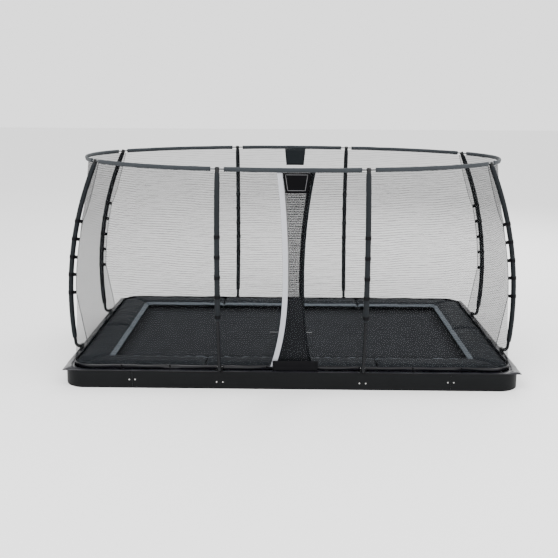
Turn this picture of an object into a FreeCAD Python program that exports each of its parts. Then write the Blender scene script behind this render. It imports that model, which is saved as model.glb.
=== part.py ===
import FreeCAD, Part
import math
import os

V = FreeCAD.Vector

# A rectangular in-ground trampoline with a safety net.
# Origin: middle of the frame on the surface it stands on. +X along the length,
# the entrance is at -Y, +Z up. Millimetres.

# ---- driving dimensions ----
HALF_LENGTH = 2595.0          # frame wall, outside
HALF_WIDTH = 1525.0
WALL_HEIGHT = 200.0
WALL_SKIN = 3.0
WALL_FLANGE = 45.0
WALL_CORNER_R = 250.0
WALL_JOINT_X = 1795.0         # where the straight walls meet the corner pieces
WALL_JOINT_Y = 362.5
JOINT_GAP = 1.0

RAIL_HALF_LENGTH = 2545.0     # spring rail centre line
RAIL_HALF_WIDTH = 1475.0
RAIL_R = 16.0
RAIL_CORNER_R = 200.0
SPRING_Z = 178.0              # level of rail, springs and mat

MAT_HALF_LENGTH = 2295.0
MAT_HALF_WIDTH = 1225.0
MAT_THICK = 2.0
MAT_HEM = 60.0
MAT_HEM_THICK = 5.0
SPRINGS_LONG = 34
SPRINGS_SHORT = 18
SPRING_R = 8.0
SPRING_WIRE_R = 2.0

PAD_IN_X, PAD_IN_Y = 2080.0, 1100.0
PAD_OUT_X, PAD_OUT_Y = 2488.0, 1448.0
PAD_BOTTOM, PAD_TOP = 204.0, 240.0
PAD_EDGE_TOP = 216.0
PAD_SLOPE = 70.0
PAD_SEAM_X = 1000.0
PAD_GAP = 4.0

HEM_X, HEM_Y = 2497.0, 1457.0  # outside of the net's bottom hem
HEM_THICK = 4.0
HEM_BOTTOM, HEM_TOP = 204.0, 254.0
HEM_CORNER_R = 200.0
SKIRT_X, SKIRT_Y = 2590.0, 1521.0
SKIRT_Z, SKIRT_THICK = 200.5, 1.5

RING_A, RING_B = 2590.0, 1700.0   # half axes of the top ring, an ellipse
RING_Z = 2500.0
RING_ROD_R = 9.0
RING_SLEEVE_HALF_THICK = 13.0
RING_SLEEVE_HALF_HEIGHT = 26.0
RING_BARE = 75.0                  # bare rod each side of a pole

POLE_TUBE_R = 19.0
POLE_WALL = 2.0
CAP_R = 25.0
FOAM_R = 30.0
POLE_TOP = 2485.0
POLE_BEND_R = 4200.0
MID_POLE_X = 805.0
END_POLE_Y = 755.0
ELBOW_R = 46.0
ELBOW_Z = 224.0
LOWER_JOINT_Z = 900.0
STRAP_LEVELS = (902.0, 1127.0, 1344.0, 1566.0, 1784.0)
STRAP_HALF = 21.0
STRAP_REACH = 52.0             # from a pole's centre line to the net's side of a strap

NET_THICK = 3.0
NET_CLEAR = 38.0              # the net's distance in from a pole's centre line at its top
NET_TOP = RING_Z - RING_SLEEVE_HALF_HEIGHT - 2.0
NET_BOTTOM = HEM_TOP + 1.0
STRIP_WIDTH = 56.0

parts = {}


def add(name, shapes):
    """Keeps a node: one solid or a list of separate solids."""
    parts[name] = shapes if isinstance(shapes, list) else [shapes]


def mirrored(solid, x=False, y=False):
    """The solid mirrored across the YZ plane, the XZ plane or both."""
    if x:
        solid = solid.mirror(V(0, 0, 0), V(1, 0, 0))
    if y:
        solid = solid.mirror(V(0, 0, 0), V(0, 1, 0))
    return solid


def box(low, high):
    """A box between two corners."""
    return Part.makeBox(high[0] - low[0], high[1] - low[1], high[2] - low[2], V(*low))


def cylinder(start, direction, radius, length):
    """A cylinder from a start point along a direction."""
    return Part.makeCylinder(radius, length, V(*start), V(*direction))


def prism(points, z0, z1):
    """A straight-sided solid over a plan outline."""
    outline = [V(x, y, z0) for x, y in points]
    face = Part.Face(Part.makePolygon(outline + outline[:1]))
    return face.extrude(V(0, 0, z1 - z0))


def rounded_plate(half_x, half_y, corner, z0, z1):
    """A plate with a rounded rectangular plan."""
    plate = box((-half_x, -half_y, z0), (half_x, half_y, z1))
    if corner <= 0:
        return plate
    edges = [e for e in plate.Edges if abs(e.BoundBox.ZLength - (z1 - z0)) < 0.01]
    return plate.makeFillet(corner, edges)


def band(half_x, half_y, corner, width, z0, z1):
    """A closed band that follows a rounded rectangle, its outside given."""
    outer = rounded_plate(half_x, half_y, corner, z0, z1)
    inner = rounded_plate(half_x - width, half_y - width, max(corner - width, 0.0), z0 - 1, z1 + 1)
    return outer.cut(inner)


# ---- poles: where each stands and how it leans ----
def arc_centre(start, end, radius):
    """Centre of the arc of a radius that runs from start to end, bulging to +d."""
    middle = ((start[0] + end[0]) / 2, (start[1] + end[1]) / 2)
    dx, dz = end[0] - start[0], end[1] - start[1]
    chord = math.hypot(dx, dz)
    back = math.sqrt(radius ** 2 - (chord / 2) ** 2)
    return middle[0] - back * dz / chord, middle[1] + back * dx / chord


def ring_point(angle):
    """A point on the top ring's centre line."""
    return RING_A * math.cos(angle), RING_B * math.sin(angle)


class Pole:
    """A net pole: a bend in the upright plane that points out from the frame."""

    def __init__(self, name, base, outward, top_reach, foam_from):
        self.name = name
        self.base = base              # point on the frame's outside face, at the pole
        self.out = outward            # unit vector away from the frame
        self.foot = 46.0              # centre line's distance from the wall at the elbow
        self.foam_from = foam_from
        self.z_foot = ELBOW_Z + ELBOW_R
        self.centre = arc_centre((self.foot, self.z_foot), (top_reach, POLE_TOP), POLE_BEND_R)

    def reach(self, z):
        """Distance of the centre line from the wall's face at a height."""
        return self.centre[0] + math.sqrt(POLE_BEND_R ** 2 - (z - self.centre[1]) ** 2)

    def point(self, z):
        """A point on the centre line at a height."""
        d = self.reach(z)
        return V(self.base[0] + self.out[0] * d, self.base[1] + self.out[1] * d, z)

    def tangent(self, z):
        """Direction of the centre line at a height, upwards."""
        rise = math.sqrt(POLE_BEND_R ** 2 - (z - self.centre[1]) ** 2)
        lean = -(z - self.centre[1]) / rise
        direction = V(self.out[0] * lean, self.out[1] * lean, 1.0)
        return direction.normalize()

    def tube(self, radius, z0, z1):
        """A round solid along the centre line."""
        ring = Part.makeCircle(radius, self.point(z0), self.tangent(z0))
        profile = Part.Face(Part.Wire(ring))
        middle = V(self.base[0] + self.out[0] * self.centre[0],
                   self.base[1] + self.out[1] * self.centre[0], self.centre[1])
        axis = V(-self.out[1], self.out[0], 0)
        a0 = math.asin((z0 - self.centre[1]) / POLE_BEND_R)
        a1 = math.asin((z1 - self.centre[1]) / POLE_BEND_R)
        return profile.revolve(middle, axis * -1.0, math.degrees(a1 - a0))

    def local(self, along, out, z):
        """A point from distances along the wall, out from its face, and up."""
        side = (-self.out[1], self.out[0])
        return V(self.base[0] + side[0] * along + self.out[0] * out,
                 self.base[1] + side[1] * along + self.out[1] * out, z)

    def block(self, along, out, z):
        """A box in the pole's own directions, each given as a (low, high) pair."""
        corners = [self.local(a, o, z[0]) for a in along for o in out]
        xs = [c.x for c in corners]
        ys = [c.y for c in corners]
        return box((min(xs), min(ys), z[0]), (max(xs), max(ys), z[1]))


def make_poles():
    """The eight poles in order round the frame, the front left one first."""
    mid_top = RING_B * math.sqrt(1 - (MID_POLE_X / RING_A) ** 2) - HALF_WIDTH
    end_top = RING_A * math.sqrt(1 - (END_POLE_Y / RING_B) ** 2) - HALF_LENGTH
    short_foam, long_foam = 855.0, 335.0
    return [
        Pole("front_left", (-MID_POLE_X, -HALF_WIDTH), (0, -1), mid_top, short_foam),
        Pole("front_right", (MID_POLE_X, -HALF_WIDTH), (0, -1), mid_top, short_foam),
        Pole("right_front", (HALF_LENGTH, -END_POLE_Y), (1, 0), end_top, long_foam),
        Pole("right_back", (HALF_LENGTH, END_POLE_Y), (1, 0), end_top, long_foam),
        Pole("back_right", (MID_POLE_X, HALF_WIDTH), (0, 1), mid_top, long_foam),
        Pole("back_left", (-MID_POLE_X, HALF_WIDTH), (0, 1), mid_top, long_foam),
        Pole("left_back", (-HALF_LENGTH, END_POLE_Y), (-1, 0), end_top, long_foam),
        Pole("left_front", (-HALF_LENGTH, -END_POLE_Y), (-1, 0), end_top, long_foam),
    ]


POLES = make_poles()
POLE_ANGLES = [math.atan2(p.point(POLE_TOP).y / RING_B, p.point(POLE_TOP).x / RING_A) % (2 * math.pi)
               for p in POLES]

BRACKET_BOLTS = (-35.0, 35.0)     # along the wall from the pole
BRACKET_BOLT_Z = 80.0
JOINER_BOLTS = (-33.0, 33.0)      # along the wall from the wall joint
JOINER_BOLT_Z = 100.0
BOLT_R = 4.0
BOLT_HEAD_R = 8.0


def joiner_places():
    """Wall joints: point on the outside face and outward direction."""
    places = []
    for sx in (-1, 1):
        for sy in (-1, 1):
            places.append(((sx * WALL_JOINT_X, sy * HALF_WIDTH), (0, sy)))
            places.append(((sx * HALF_LENGTH, sy * WALL_JOINT_Y), (sx, 0)))
    return places


def bolt_places():
    """Every bolt through the wall: centre on the outside face and outward direction."""
    places = []
    for pole in POLES:
        for offset in BRACKET_BOLTS:
            places.append((pole.local(offset, 0.0, BRACKET_BOLT_Z), pole.out))
    for (x, y), out in joiner_places():
        for offset in JOINER_BOLTS:
            side = (-out[1], out[0])
            places.append((V(x + side[0] * offset, y + side[1] * offset, JOINER_BOLT_Z), out))
    return places


def make_walls():
    """The frame's folded sheet walls, cut into straight and corner pieces, with their bolts."""
    skin = band(HALF_LENGTH, HALF_WIDTH, WALL_CORNER_R, WALL_SKIN, 0, WALL_HEIGHT)
    low = band(HALF_LENGTH, HALF_WIDTH, WALL_CORNER_R, WALL_FLANGE, 0, WALL_SKIN)
    high = band(HALF_LENGTH, HALF_WIDTH, WALL_CORNER_R, WALL_FLANGE, WALL_HEIGHT - WALL_SKIN, WALL_HEIGHT)
    wall = skin.fuse([low, high]).removeSplitter()
    holes = [cylinder((p.x - out[0] * 20, p.y - out[1] * 20, p.z), (out[0], out[1], 0), BOLT_R + 0.5, 40)
             for p, out in bolt_places()]
    wall = wall.cut(Part.makeCompound(holes))
    x, y, far = WALL_JOINT_X - JOINT_GAP / 2, WALL_JOINT_Y - JOINT_GAP / 2, 3000.0
    add("wall_front", wall.common(box((-x, -far, -1), (x, 0, 999))).Solids[0])
    add("wall_back", wall.common(box((-x, 0, -1), (x, far, 999))).Solids[0])
    add("wall_left", wall.common(box((-far, -y, -1), (0, y, 999))).Solids[0])
    add("wall_right", wall.common(box((0, -y, -1), (far, y, 999))).Solids[0])
    corner = wall.common(box((x + JOINT_GAP, y + JOINT_GAP, -1), (far, far, 999))).Solids[0]
    add("wall_corner_back_right", corner)
    add("wall_corner_back_left", mirrored(corner, x=True))
    add("wall_corner_front_right", mirrored(corner, y=True))
    add("wall_corner_front_left", mirrored(corner, x=True, y=True))


def wall_bolt(point, out):
    """A dome-headed bolt with its washer-sized nut inside the wall."""
    direction = V(out[0], out[1], 0)
    head = cylinder(point, direction, BOLT_HEAD_R, 5.0)
    top = [e for e in head.Edges if abs((e.CenterOfMass - point).dot(direction) - 5.0) < 0.1]
    head = head.makeFillet(3.5, top)
    shank = cylinder(point - direction * 18, direction, BOLT_R, 18.0)
    nut = cylinder(point - direction * 17, direction, BOLT_HEAD_R - 1, 7.0)
    return head.fuse([shank, nut]).removeSplitter()


def make_wall_fixings():
    """Joiner plates inside the wall joints and the bolts through every plate."""
    plates = []
    inside = WALL_SKIN + 0.3
    for (x, y), out in joiner_places():
        side = (-out[1], out[0])
        corners = [(x + side[0] * a - out[0] * d, y + side[1] * a - out[1] * d)
                   for a, d in ((-70, inside), (70, inside), (70, inside + 4), (-70, inside + 4))]
        plate = prism(corners, 40, 160)
        for offset in JOINER_BOLTS:
            start = (x + side[0] * offset, y + side[1] * offset, JOINER_BOLT_Z)
            plate = plate.cut(cylinder(start, (-out[0], -out[1], 0), BOLT_R + 0.5, 40))
        plates.append(plate)
    add("wall_joiner_plates", plates)
    add("wall_bolts", [wall_bolt(p, out) for p, out in bolt_places()])


def make_spring_rail():
    """The tube that the springs pull on: two straight runs, two ends with their bends, struts."""
    x, y = RAIL_HALF_LENGTH, RAIL_HALF_WIDTH
    corner_x, corner_y = x - RAIL_CORNER_R, y - RAIL_CORNER_R
    front = cylinder((-corner_x + JOINT_GAP, -y, SPRING_Z), (1, 0, 0), RAIL_R, 2 * (corner_x - JOINT_GAP))
    add("spring_rail_front", front)
    add("spring_rail_back", mirrored(front, y=True))
    side = cylinder((x, -corner_y, SPRING_Z), (0, 1, 0), RAIL_R, 2 * corner_y)
    profile = Part.Face(Part.Wire(Part.makeCircle(RAIL_R, V(x, corner_y, SPRING_Z), V(0, 1, 0))))
    bend = profile.revolve(V(corner_x, corner_y, 0), V(0, 0, 1), 90)
    side = side.fuse([bend, mirrored(bend, y=True)]).removeSplitter()
    add("spring_rail_right", side)
    add("spring_rail_left", mirrored(side, x=True))
    struts = []
    outer_x, outer_y = HALF_LENGTH - WALL_SKIN, HALF_WIDTH - WALL_SKIN
    for along in (-1500, -500, 500, 1500):
        strut = box((along - 25, -outer_y, SPRING_Z - 12), (along + 25, -y, SPRING_Z + 12))
        strut = strut.cut(cylinder((along - 40, -y, SPRING_Z), (1, 0, 0), RAIL_R, 80))
        struts += [strut, mirrored(strut, y=True)]
    for along in (-560, 560):
        strut = box((x, along - 25, SPRING_Z - 12), (outer_x, along + 25, SPRING_Z + 12))
        strut = strut.cut(cylinder((x, along - 40, SPRING_Z), (0, 1, 0), RAIL_R, 80))
        struts += [strut, mirrored(strut, x=True)]
    add("rail_struts", struts)


def spring_stations(count, half):
    """Even places along a mat side."""
    pitch = 2 * half / count
    return [-half + pitch * (i + 0.5) for i in range(count)]


def make_mat_and_springs():
    """The jumping mat, its V rings and the springs that hang it in the rail."""
    sheet = box((-MAT_HALF_LENGTH, -MAT_HALF_WIDTH, SPRING_Z - MAT_THICK / 2),
                (MAT_HALF_LENGTH, MAT_HALF_WIDTH, SPRING_Z + MAT_THICK / 2))
    hem = band(MAT_HALF_LENGTH, MAT_HALF_WIDTH, 0, MAT_HEM, SPRING_Z - MAT_HEM_THICK / 2,
               SPRING_Z + MAT_HEM_THICK / 2)
    add("jump_mat", sheet.fuse(hem).removeSplitter())

    ring_depth, ring_half = 34.0, 17.0
    ring = prism([(0.5, -ring_half), (ring_depth, -4), (ring_depth, 4), (0.5, ring_half)],
                 SPRING_Z - 1.5, SPRING_Z + 1.5)
    hole = prism([(5, -ring_half + 6), (ring_depth - 5, -3), (ring_depth - 5, 3), (5, ring_half - 6)],
                 SPRING_Z - 5, SPRING_Z + 5)
    ring = ring.cut(hole)
    gap_x = RAIL_HALF_LENGTH - RAIL_R - MAT_HALF_LENGTH
    hook = cylinder((ring_depth + 1, 0, SPRING_Z), (1, 0, 0), SPRING_WIRE_R, gap_x - ring_depth - 2)
    coil = cylinder((ring_depth + 12, 0, SPRING_Z), (1, 0, 0), SPRING_R, gap_x - ring_depth - 30)
    bore = cylinder((ring_depth + 15, 0, SPRING_Z), (1, 0, 0), SPRING_R - 2 * SPRING_WIRE_R,
                    gap_x - ring_depth - 36)
    spring = hook.cut(coil).fuse(coil.cut(bore)).removeSplitter()

    sides = {"front": (-90, 0, -MAT_HALF_WIDTH), "back": (90, 0, MAT_HALF_WIDTH),
             "right": (0, MAT_HALF_LENGTH, 0), "left": (180, -MAT_HALF_LENGTH, 0)}
    rings = []
    for side, (angle, x, y) in sides.items():
        long_side = side in ("front", "back")
        half = MAT_HALF_LENGTH if long_side else MAT_HALF_WIDTH
        springs = []
        for along in spring_stations(SPRINGS_LONG if long_side else SPRINGS_SHORT, half - 60):
            place = V(along, y, 0) if long_side else V(x, along, 0)
            move = FreeCAD.Placement(place, FreeCAD.Rotation(V(0, 0, 1), angle))
            for shape, group in ((ring, rings), (spring, springs)):
                copy = shape.copy()
                copy.Placement = move
                group.append(copy.Solids[0])
        add("springs_" + side, springs)
    add("mat_v_rings", rings)


def pad_piece(outer_a, outer_b, inner_a, inner_b):
    """A pad over the springs: flat on top, sloping down along its inner edge."""
    def lerp(p, q, t):
        return (p[0] + (q[0] - p[0]) * t, p[1] + (q[1] - p[1]) * t)

    along_x = outer_a[1] == outer_b[1]
    depth = abs(outer_a[1] - inner_a[1]) if along_x else abs(outer_a[0] - inner_a[0])
    share = PAD_SLOPE / depth
    top_a, top_b = lerp(inner_a, outer_a, share), lerp(inner_b, outer_b, share)
    z0, z1, z2 = PAD_BOTTOM, PAD_EDGE_TOP, PAD_TOP
    low = [V(*outer_a, z0), V(*outer_b, z0), V(*inner_b, z0), V(*inner_a, z0)]
    edge = [V(*inner_b, z1), V(*inner_a, z1)]
    top = [V(*outer_a, z2), V(*outer_b, z2), V(*top_b, z2), V(*top_a, z2)]
    loops = [low, top, [low[0], low[1], top[1], top[0]], [low[2], low[3], edge[1], edge[0]],
             [edge[0], edge[1], top[3], top[2]],
             [low[1], low[2], edge[0], top[2], top[1]], [low[3], low[0], top[0], top[3], edge[1]]]
    faces = [Part.Face(Part.makePolygon(loop + loop[:1])) for loop in loops]
    solid = Part.Solid(Part.Shell(faces))
    if solid.Volume < 0:
        solid.reverse()
    outline = rounded_plate(PAD_OUT_X, PAD_OUT_Y, HEM_CORNER_R - HEM_THICK, PAD_BOTTOM - 1, PAD_TOP + 1)
    return solid.common(outline).Solids[0]


def make_pads():
    """Four rows of pads over the springs, mitred at the corners."""
    g = PAD_GAP / 2
    slant = (PAD_OUT_X - PAD_IN_X) / (PAD_OUT_Y - PAD_IN_Y)
    edge = PAD_SEAM_X
    front = [pad_piece((-PAD_OUT_X + g * slant, -PAD_OUT_Y), (-edge - g, -PAD_OUT_Y),
                       (-PAD_IN_X + g * slant, -PAD_IN_Y), (-edge - g, -PAD_IN_Y)),
             pad_piece((-edge + g, -PAD_OUT_Y), (edge - g, -PAD_OUT_Y),
                       (-edge + g, -PAD_IN_Y), (edge - g, -PAD_IN_Y))]
    front.append(mirrored(front[0], x=True))
    add("pad_front", front)
    add("pad_back", [mirrored(s, y=True) for s in front])
    half = pad_piece((PAD_OUT_X, -PAD_OUT_Y + g), (PAD_OUT_X, -g), (PAD_IN_X, -PAD_IN_Y + g), (PAD_IN_X, -g))
    right = [half, mirrored(half, y=True)]
    add("pad_right", right)
    add("pad_left", [mirrored(s, x=True) for s in right])


SADDLE_HALF = 30.0
SADDLE_OUT = -8.0            # saddle's outer and inner ends, from the wall's face
SADDLE_IN = -43.0
SADDLE_BASE = WALL_HEIGHT + 0.2
SADDLE_TOP = ELBOW_Z + POLE_TUBE_R + 6.0
TIE_PITCH = 550.0


def make_skirt_and_ties():
    """The cover sheet from the pads to the frame's edge, and the loops that tie it down."""
    skirt = rounded_plate(SKIRT_X, SKIRT_Y, 8.0, SKIRT_Z, SKIRT_Z + SKIRT_THICK)
    skirt = skirt.cut(rounded_plate(HEM_X + 3, HEM_Y + 3, HEM_CORNER_R + 3, SKIRT_Z - 1, SKIRT_Z + 9))
    notches = [p.block((-SADDLE_HALF - 3, SADDLE_HALF + 3), (-80, 20), (SKIRT_Z - 5, SKIRT_Z + 10))
               for p in POLES]
    skirt = skirt.cut(Part.makeCompound(notches))
    add("frame_skirt", skirt.Solids)

    ties = []
    z0 = SKIRT_Z + SKIRT_THICK + 0.3
    hook = box((-6, HEM_Y + 1, z0), (6, SKIRT_Y - 4, z0 + 3)).fuse(
        box((-12, HEM_Y + 1, z0), (12, HEM_Y + 5, HEM_TOP - 8))).removeSplitter()
    count_x, count_y = 8, 4
    for i in range(count_x):
        x = (i - (count_x - 1) / 2) * TIE_PITCH
        if min(abs(x - MID_POLE_X), abs(x + MID_POLE_X)) < 60:
            continue
        tie = hook.translated(V(x, 0, 0))
        ties += [tie, mirrored(tie, y=True)]
    side_hook = hook.rotated(V(0, 0, 0), V(0, 0, 1), -90).translated(V(HEM_X - HEM_Y, 0, 0))
    for i in range(count_y):
        y = (i - (count_y - 1) / 2) * TIE_PITCH * 1.3
        if min(abs(y - END_POLE_Y), abs(y + END_POLE_Y)) < 60:
            continue
        tie = side_hook.translated(V(0, y, 0))
        ties += [tie, mirrored(tie, x=True)]
    add("pad_ties", ties)


def elbow_tube(pole, radius):
    """The bent foot of a pole: a level stub and an elbow that turns up from it."""
    stub_in = pole.local(0, SADDLE_IN - 6, ELBOW_Z)
    bend_in = pole.local(0, pole.foot - ELBOW_R, ELBOW_Z)
    stub = cylinder(stub_in, bend_in - stub_in, radius, (bend_in - stub_in).Length)
    profile = Part.Face(Part.Wire(Part.makeCircle(radius, bend_in, bend_in - stub_in)))
    pivot = pole.local(0, pole.foot - ELBOW_R, ELBOW_Z + ELBOW_R)
    axis = V(-pole.out[1], pole.out[0], 0) * -1.0
    bend = profile.revolve(pivot, axis, 90)
    return stub, bend


def make_poles_and_foam():
    """Lower tubes with bent feet, upper tubes, foam sleeves, caps and foot fixings."""
    lowers, uppers, caps, saddles, plates, screws = [], [], [], [], [], []
    spigot = 90.0
    bore_r = POLE_TUBE_R - POLE_WALL
    for pole in POLES:
        stub, bend = elbow_tube(pole, POLE_TUBE_R)
        upright = pole.tube(POLE_TUBE_R, pole.z_foot, LOWER_JOINT_Z)
        neck = pole.tube(bore_r - 0.4, LOWER_JOINT_Z, LOWER_JOINT_Z + spigot)
        lowers.append(stub.fuse([bend, upright, neck]).removeSplitter())
        outside = pole.tube(POLE_TUBE_R, LOWER_JOINT_Z + 0.5, POLE_TOP)
        uppers.append(outside.cut(pole.tube(bore_r, LOWER_JOINT_Z - 5, POLE_TOP + 5)).Solids[0])
        foam_top = POLE_TOP - 30
        foam = pole.tube(FOAM_R, pole.foam_from, foam_top)
        foam = foam.cut(pole.tube(POLE_TUBE_R + 0.4, pole.foam_from - 5, foam_top + 5))
        add("foam_" + pole.name, foam.Solids[0])

        top, up = pole.point(POLE_TOP), pole.tangent(POLE_TOP)
        cap = cylinder(top + up * 0.5, up, CAP_R, 34)
        rim = [e for e in cap.Edges if (e.CenterOfMass - top).dot(up) > 30 and len(e.Vertexes) == 1]
        caps.append(cap.makeFillet(6, rim))

        saddle = pole.block((-SADDLE_HALF, SADDLE_HALF), (SADDLE_IN, SADDLE_OUT), (SADDLE_BASE, SADDLE_TOP))
        way = cylinder(pole.local(0, SADDLE_IN - 10, ELBOW_Z), V(pole.out[0], pole.out[1], 0),
                       POLE_TUBE_R + 0.3, 60)
        saddles.append(saddle.cut(way))
        inside = -WALL_SKIN - 0.3
        plate = pole.block((-55, 55), (inside - 4, inside), (30, WALL_HEIGHT - WALL_SKIN - 1))
        for offset in BRACKET_BOLTS:
            hole = cylinder(pole.local(offset, 5, BRACKET_BOLT_Z), V(-pole.out[0], -pole.out[1], 0),
                            BOLT_R + 0.5, 30)
            plate = plate.cut(hole)
        plates.append(plate)
        for offset in (-25.5, 25.5):
            head = cylinder(pole.local(offset, -25, SADDLE_TOP + 0.2), V(0, 0, 1), 4.5, 3.0)
            screws.append(head)
    add("pole_lower_tubes", lowers)
    add("pole_upper_tubes", uppers)
    add("pole_caps", caps)
    add("pole_saddles", saddles)
    add("pole_bracket_plates", plates)
    add("saddle_screws", screws)


def ring_arc(first, last, trim):
    """The ring's arc between two angles: centre, radius and end directions, ends trimmed."""
    points = [ring_point(first), ring_point((first + last) / 2), ring_point(last)]
    (ax, ay), (bx, by), (cx, cy) = points
    d = 2 * (ax * (by - cy) + bx * (cy - ay) + cx * (ay - by))
    ux = ((ax ** 2 + ay ** 2) * (by - cy) + (bx ** 2 + by ** 2) * (cy - ay)
          + (cx ** 2 + cy ** 2) * (ay - by)) / d
    uy = ((ax ** 2 + ay ** 2) * (cx - bx) + (bx ** 2 + by ** 2) * (ax - cx)
          + (cx ** 2 + cy ** 2) * (bx - ax)) / d
    radius = math.hypot(ax - ux, ay - uy)
    start = math.atan2(ay - uy, ax - ux)
    sweep = (math.atan2(cy - uy, cx - ux) - start) % (2 * math.pi)
    cut = trim / radius
    return (ux, uy), radius, start + cut, sweep - 2 * cut


def ring_solid(arc, half_thick, half_height, round_section):
    """A solid of round or flat section along one arc of the ring."""
    (ux, uy), radius, start, sweep = arc
    centre = V(ux + radius * math.cos(start), uy + radius * math.sin(start), RING_Z)
    out = V(math.cos(start), math.sin(start), 0)
    if round_section:
        wire = Part.Wire(Part.makeCircle(half_thick, centre, V(-out.y, out.x, 0)))
    else:
        corners = [centre + out * a * half_thick + V(0, 0, b * half_height)
                   for a, b in ((-1, -1), (1, -1), (1, 1), (-1, 1))]
        wire = Part.makePolygon(corners + corners[:1])
    return Part.Face(wire).revolve(V(ux, uy, 0), V(0, 0, 1), math.degrees(sweep))


def make_ring():
    """The eight rods of the top ring, the fabric sleeves over them and the pole clamps."""
    rods, sleeves, clamps = [], [], []
    cap_spaces = Part.makeCompound([cylinder(p.point(POLE_TOP), p.tangent(POLE_TOP), CAP_R + 0.3, 50)
                                    for p in POLES])
    for i, pole in enumerate(POLES):
        first, last = POLE_ANGLES[i], POLE_ANGLES[(i + 1) % 8]
        if last < first:
            last += 2 * math.pi
        rod_arc = ring_arc(first, last, CAP_R + 0.5)
        rods.append(ring_solid(rod_arc, RING_ROD_R, RING_ROD_R, True).cut(cap_spaces).Solids[0])
        sleeve_arc = ring_arc(first, last, RING_BARE)
        sleeve = ring_solid(sleeve_arc, RING_SLEEVE_HALF_THICK, RING_SLEEVE_HALF_HEIGHT, False)
        sleeves.append(sleeve.cut(ring_solid(ring_arc(first, last, RING_BARE - 5), RING_ROD_R + 0.3,
                                             RING_ROD_R, True)).Solids[0])
    for pole in POLES:
        top, up = pole.point(POLE_TOP - 29), pole.tangent(POLE_TOP)
        collar = cylinder(top, up, POLE_TUBE_R + 5, 28)
        clamps.append(collar.cut(cylinder(top - up * 5, up, POLE_TUBE_R + 0.3, 40)))
    add("ring_rods", rods)
    add("ring_sleeves", sleeves)
    add("ring_clamps", clamps)


def hem_point(side_x, side_y, share):
    """A point on the rectangle that the net's hem follows, through a rounded corner.

    share runs from 0 at the long side's pole to 1 at the short side's pole.
    """
    x, y, r = HEM_X - HEM_THICK / 2, HEM_Y - HEM_THICK / 2, HEM_CORNER_R
    straight_a = x - r - MID_POLE_X
    arc = r * math.pi / 2
    straight_b = y - r - END_POLE_Y
    length = share * (straight_a + arc + straight_b)
    if length < straight_a:
        px, py = MID_POLE_X + length, y
    elif length < straight_a + arc:
        turn = (length - straight_a) / r
        px, py = x - r + r * math.sin(turn), y - r + r * math.cos(turn)
    else:
        px, py = x, y - r - (length - straight_a - arc)
    return side_x * px, side_y * py


def net_pole_point(pole, z):
    """Where the net passes a pole at a height: tied to it in the middle, free at its ends."""
    tie_in = STRAP_REACH + 11.0
    low, high = STRAP_LEVELS[0], STRAP_LEVELS[-1]
    hem = HEM_Y if pole.out[0] == 0 else HEM_X
    face = HALF_WIDTH if pole.out[0] == 0 else HALF_LENGTH
    hem_reach = hem - HEM_THICK / 2 - face
    top_reach = pole.reach(POLE_TOP) - NET_CLEAR
    if z < low:
        share = (z - NET_BOTTOM) / (low - NET_BOTTOM)
        reach = hem_reach + (pole.reach(low) - tie_in - hem_reach) * share
    elif z > high:
        share = ((z - high) / (NET_TOP - high)) ** 0.8
        reach = (pole.reach(high) - tie_in) * (1 - share) + top_reach * share
    else:
        reach = pole.reach(z) - tie_in
    return (pole.base[0] + pole.out[0] * reach, pole.base[1] + pole.out[1] * reach)


def net_point(bay, t, z):
    """A point of the net's middle surface in a bay, t from one pole to the next."""
    a, b = POLES[bay], POLES[(bay + 1) % 8]
    first, last = POLE_ANGLES[bay], POLE_ANGLES[(bay + 1) % 8]
    if last < first:
        last += 2 * math.pi
    top = ring_point(first + (last - first) * t)
    if a.out == b.out:
        low_a, low_b = net_pole_point(a, NET_BOTTOM), net_pole_point(b, NET_BOTTOM)
        low = (low_a[0] + (low_b[0] - low_a[0]) * t, low_a[1] + (low_b[1] - low_a[1]) * t)
    else:
        side_x = 1 if a.base[0] + b.base[0] > 0 else -1
        side_y = 1 if a.base[1] + b.base[1] > 0 else -1
        low = hem_point(side_x, side_y, t if a.out[0] == 0 else 1 - t)
    up = (z - NET_BOTTOM) / (NET_TOP - NET_BOTTOM)

    def between(bottom, above):
        return [bottom[k] + (above[k] - bottom[k]) * up for k in (0, 1)]

    middle = between(low, top)
    straight_a = between(net_pole_point(a, NET_BOTTOM), ring_point(first))
    straight_b = between(net_pole_point(b, NET_BOTTOM), ring_point(last))
    tied_a, tied_b = net_pole_point(a, z), net_pole_point(b, z)
    return tuple(middle[k] + (tied_a[k] - straight_a[k]) * (1 - t) ** 1.5
                 + (tied_b[k] - straight_b[k]) * t ** 1.5 for k in (0, 1))


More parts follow.
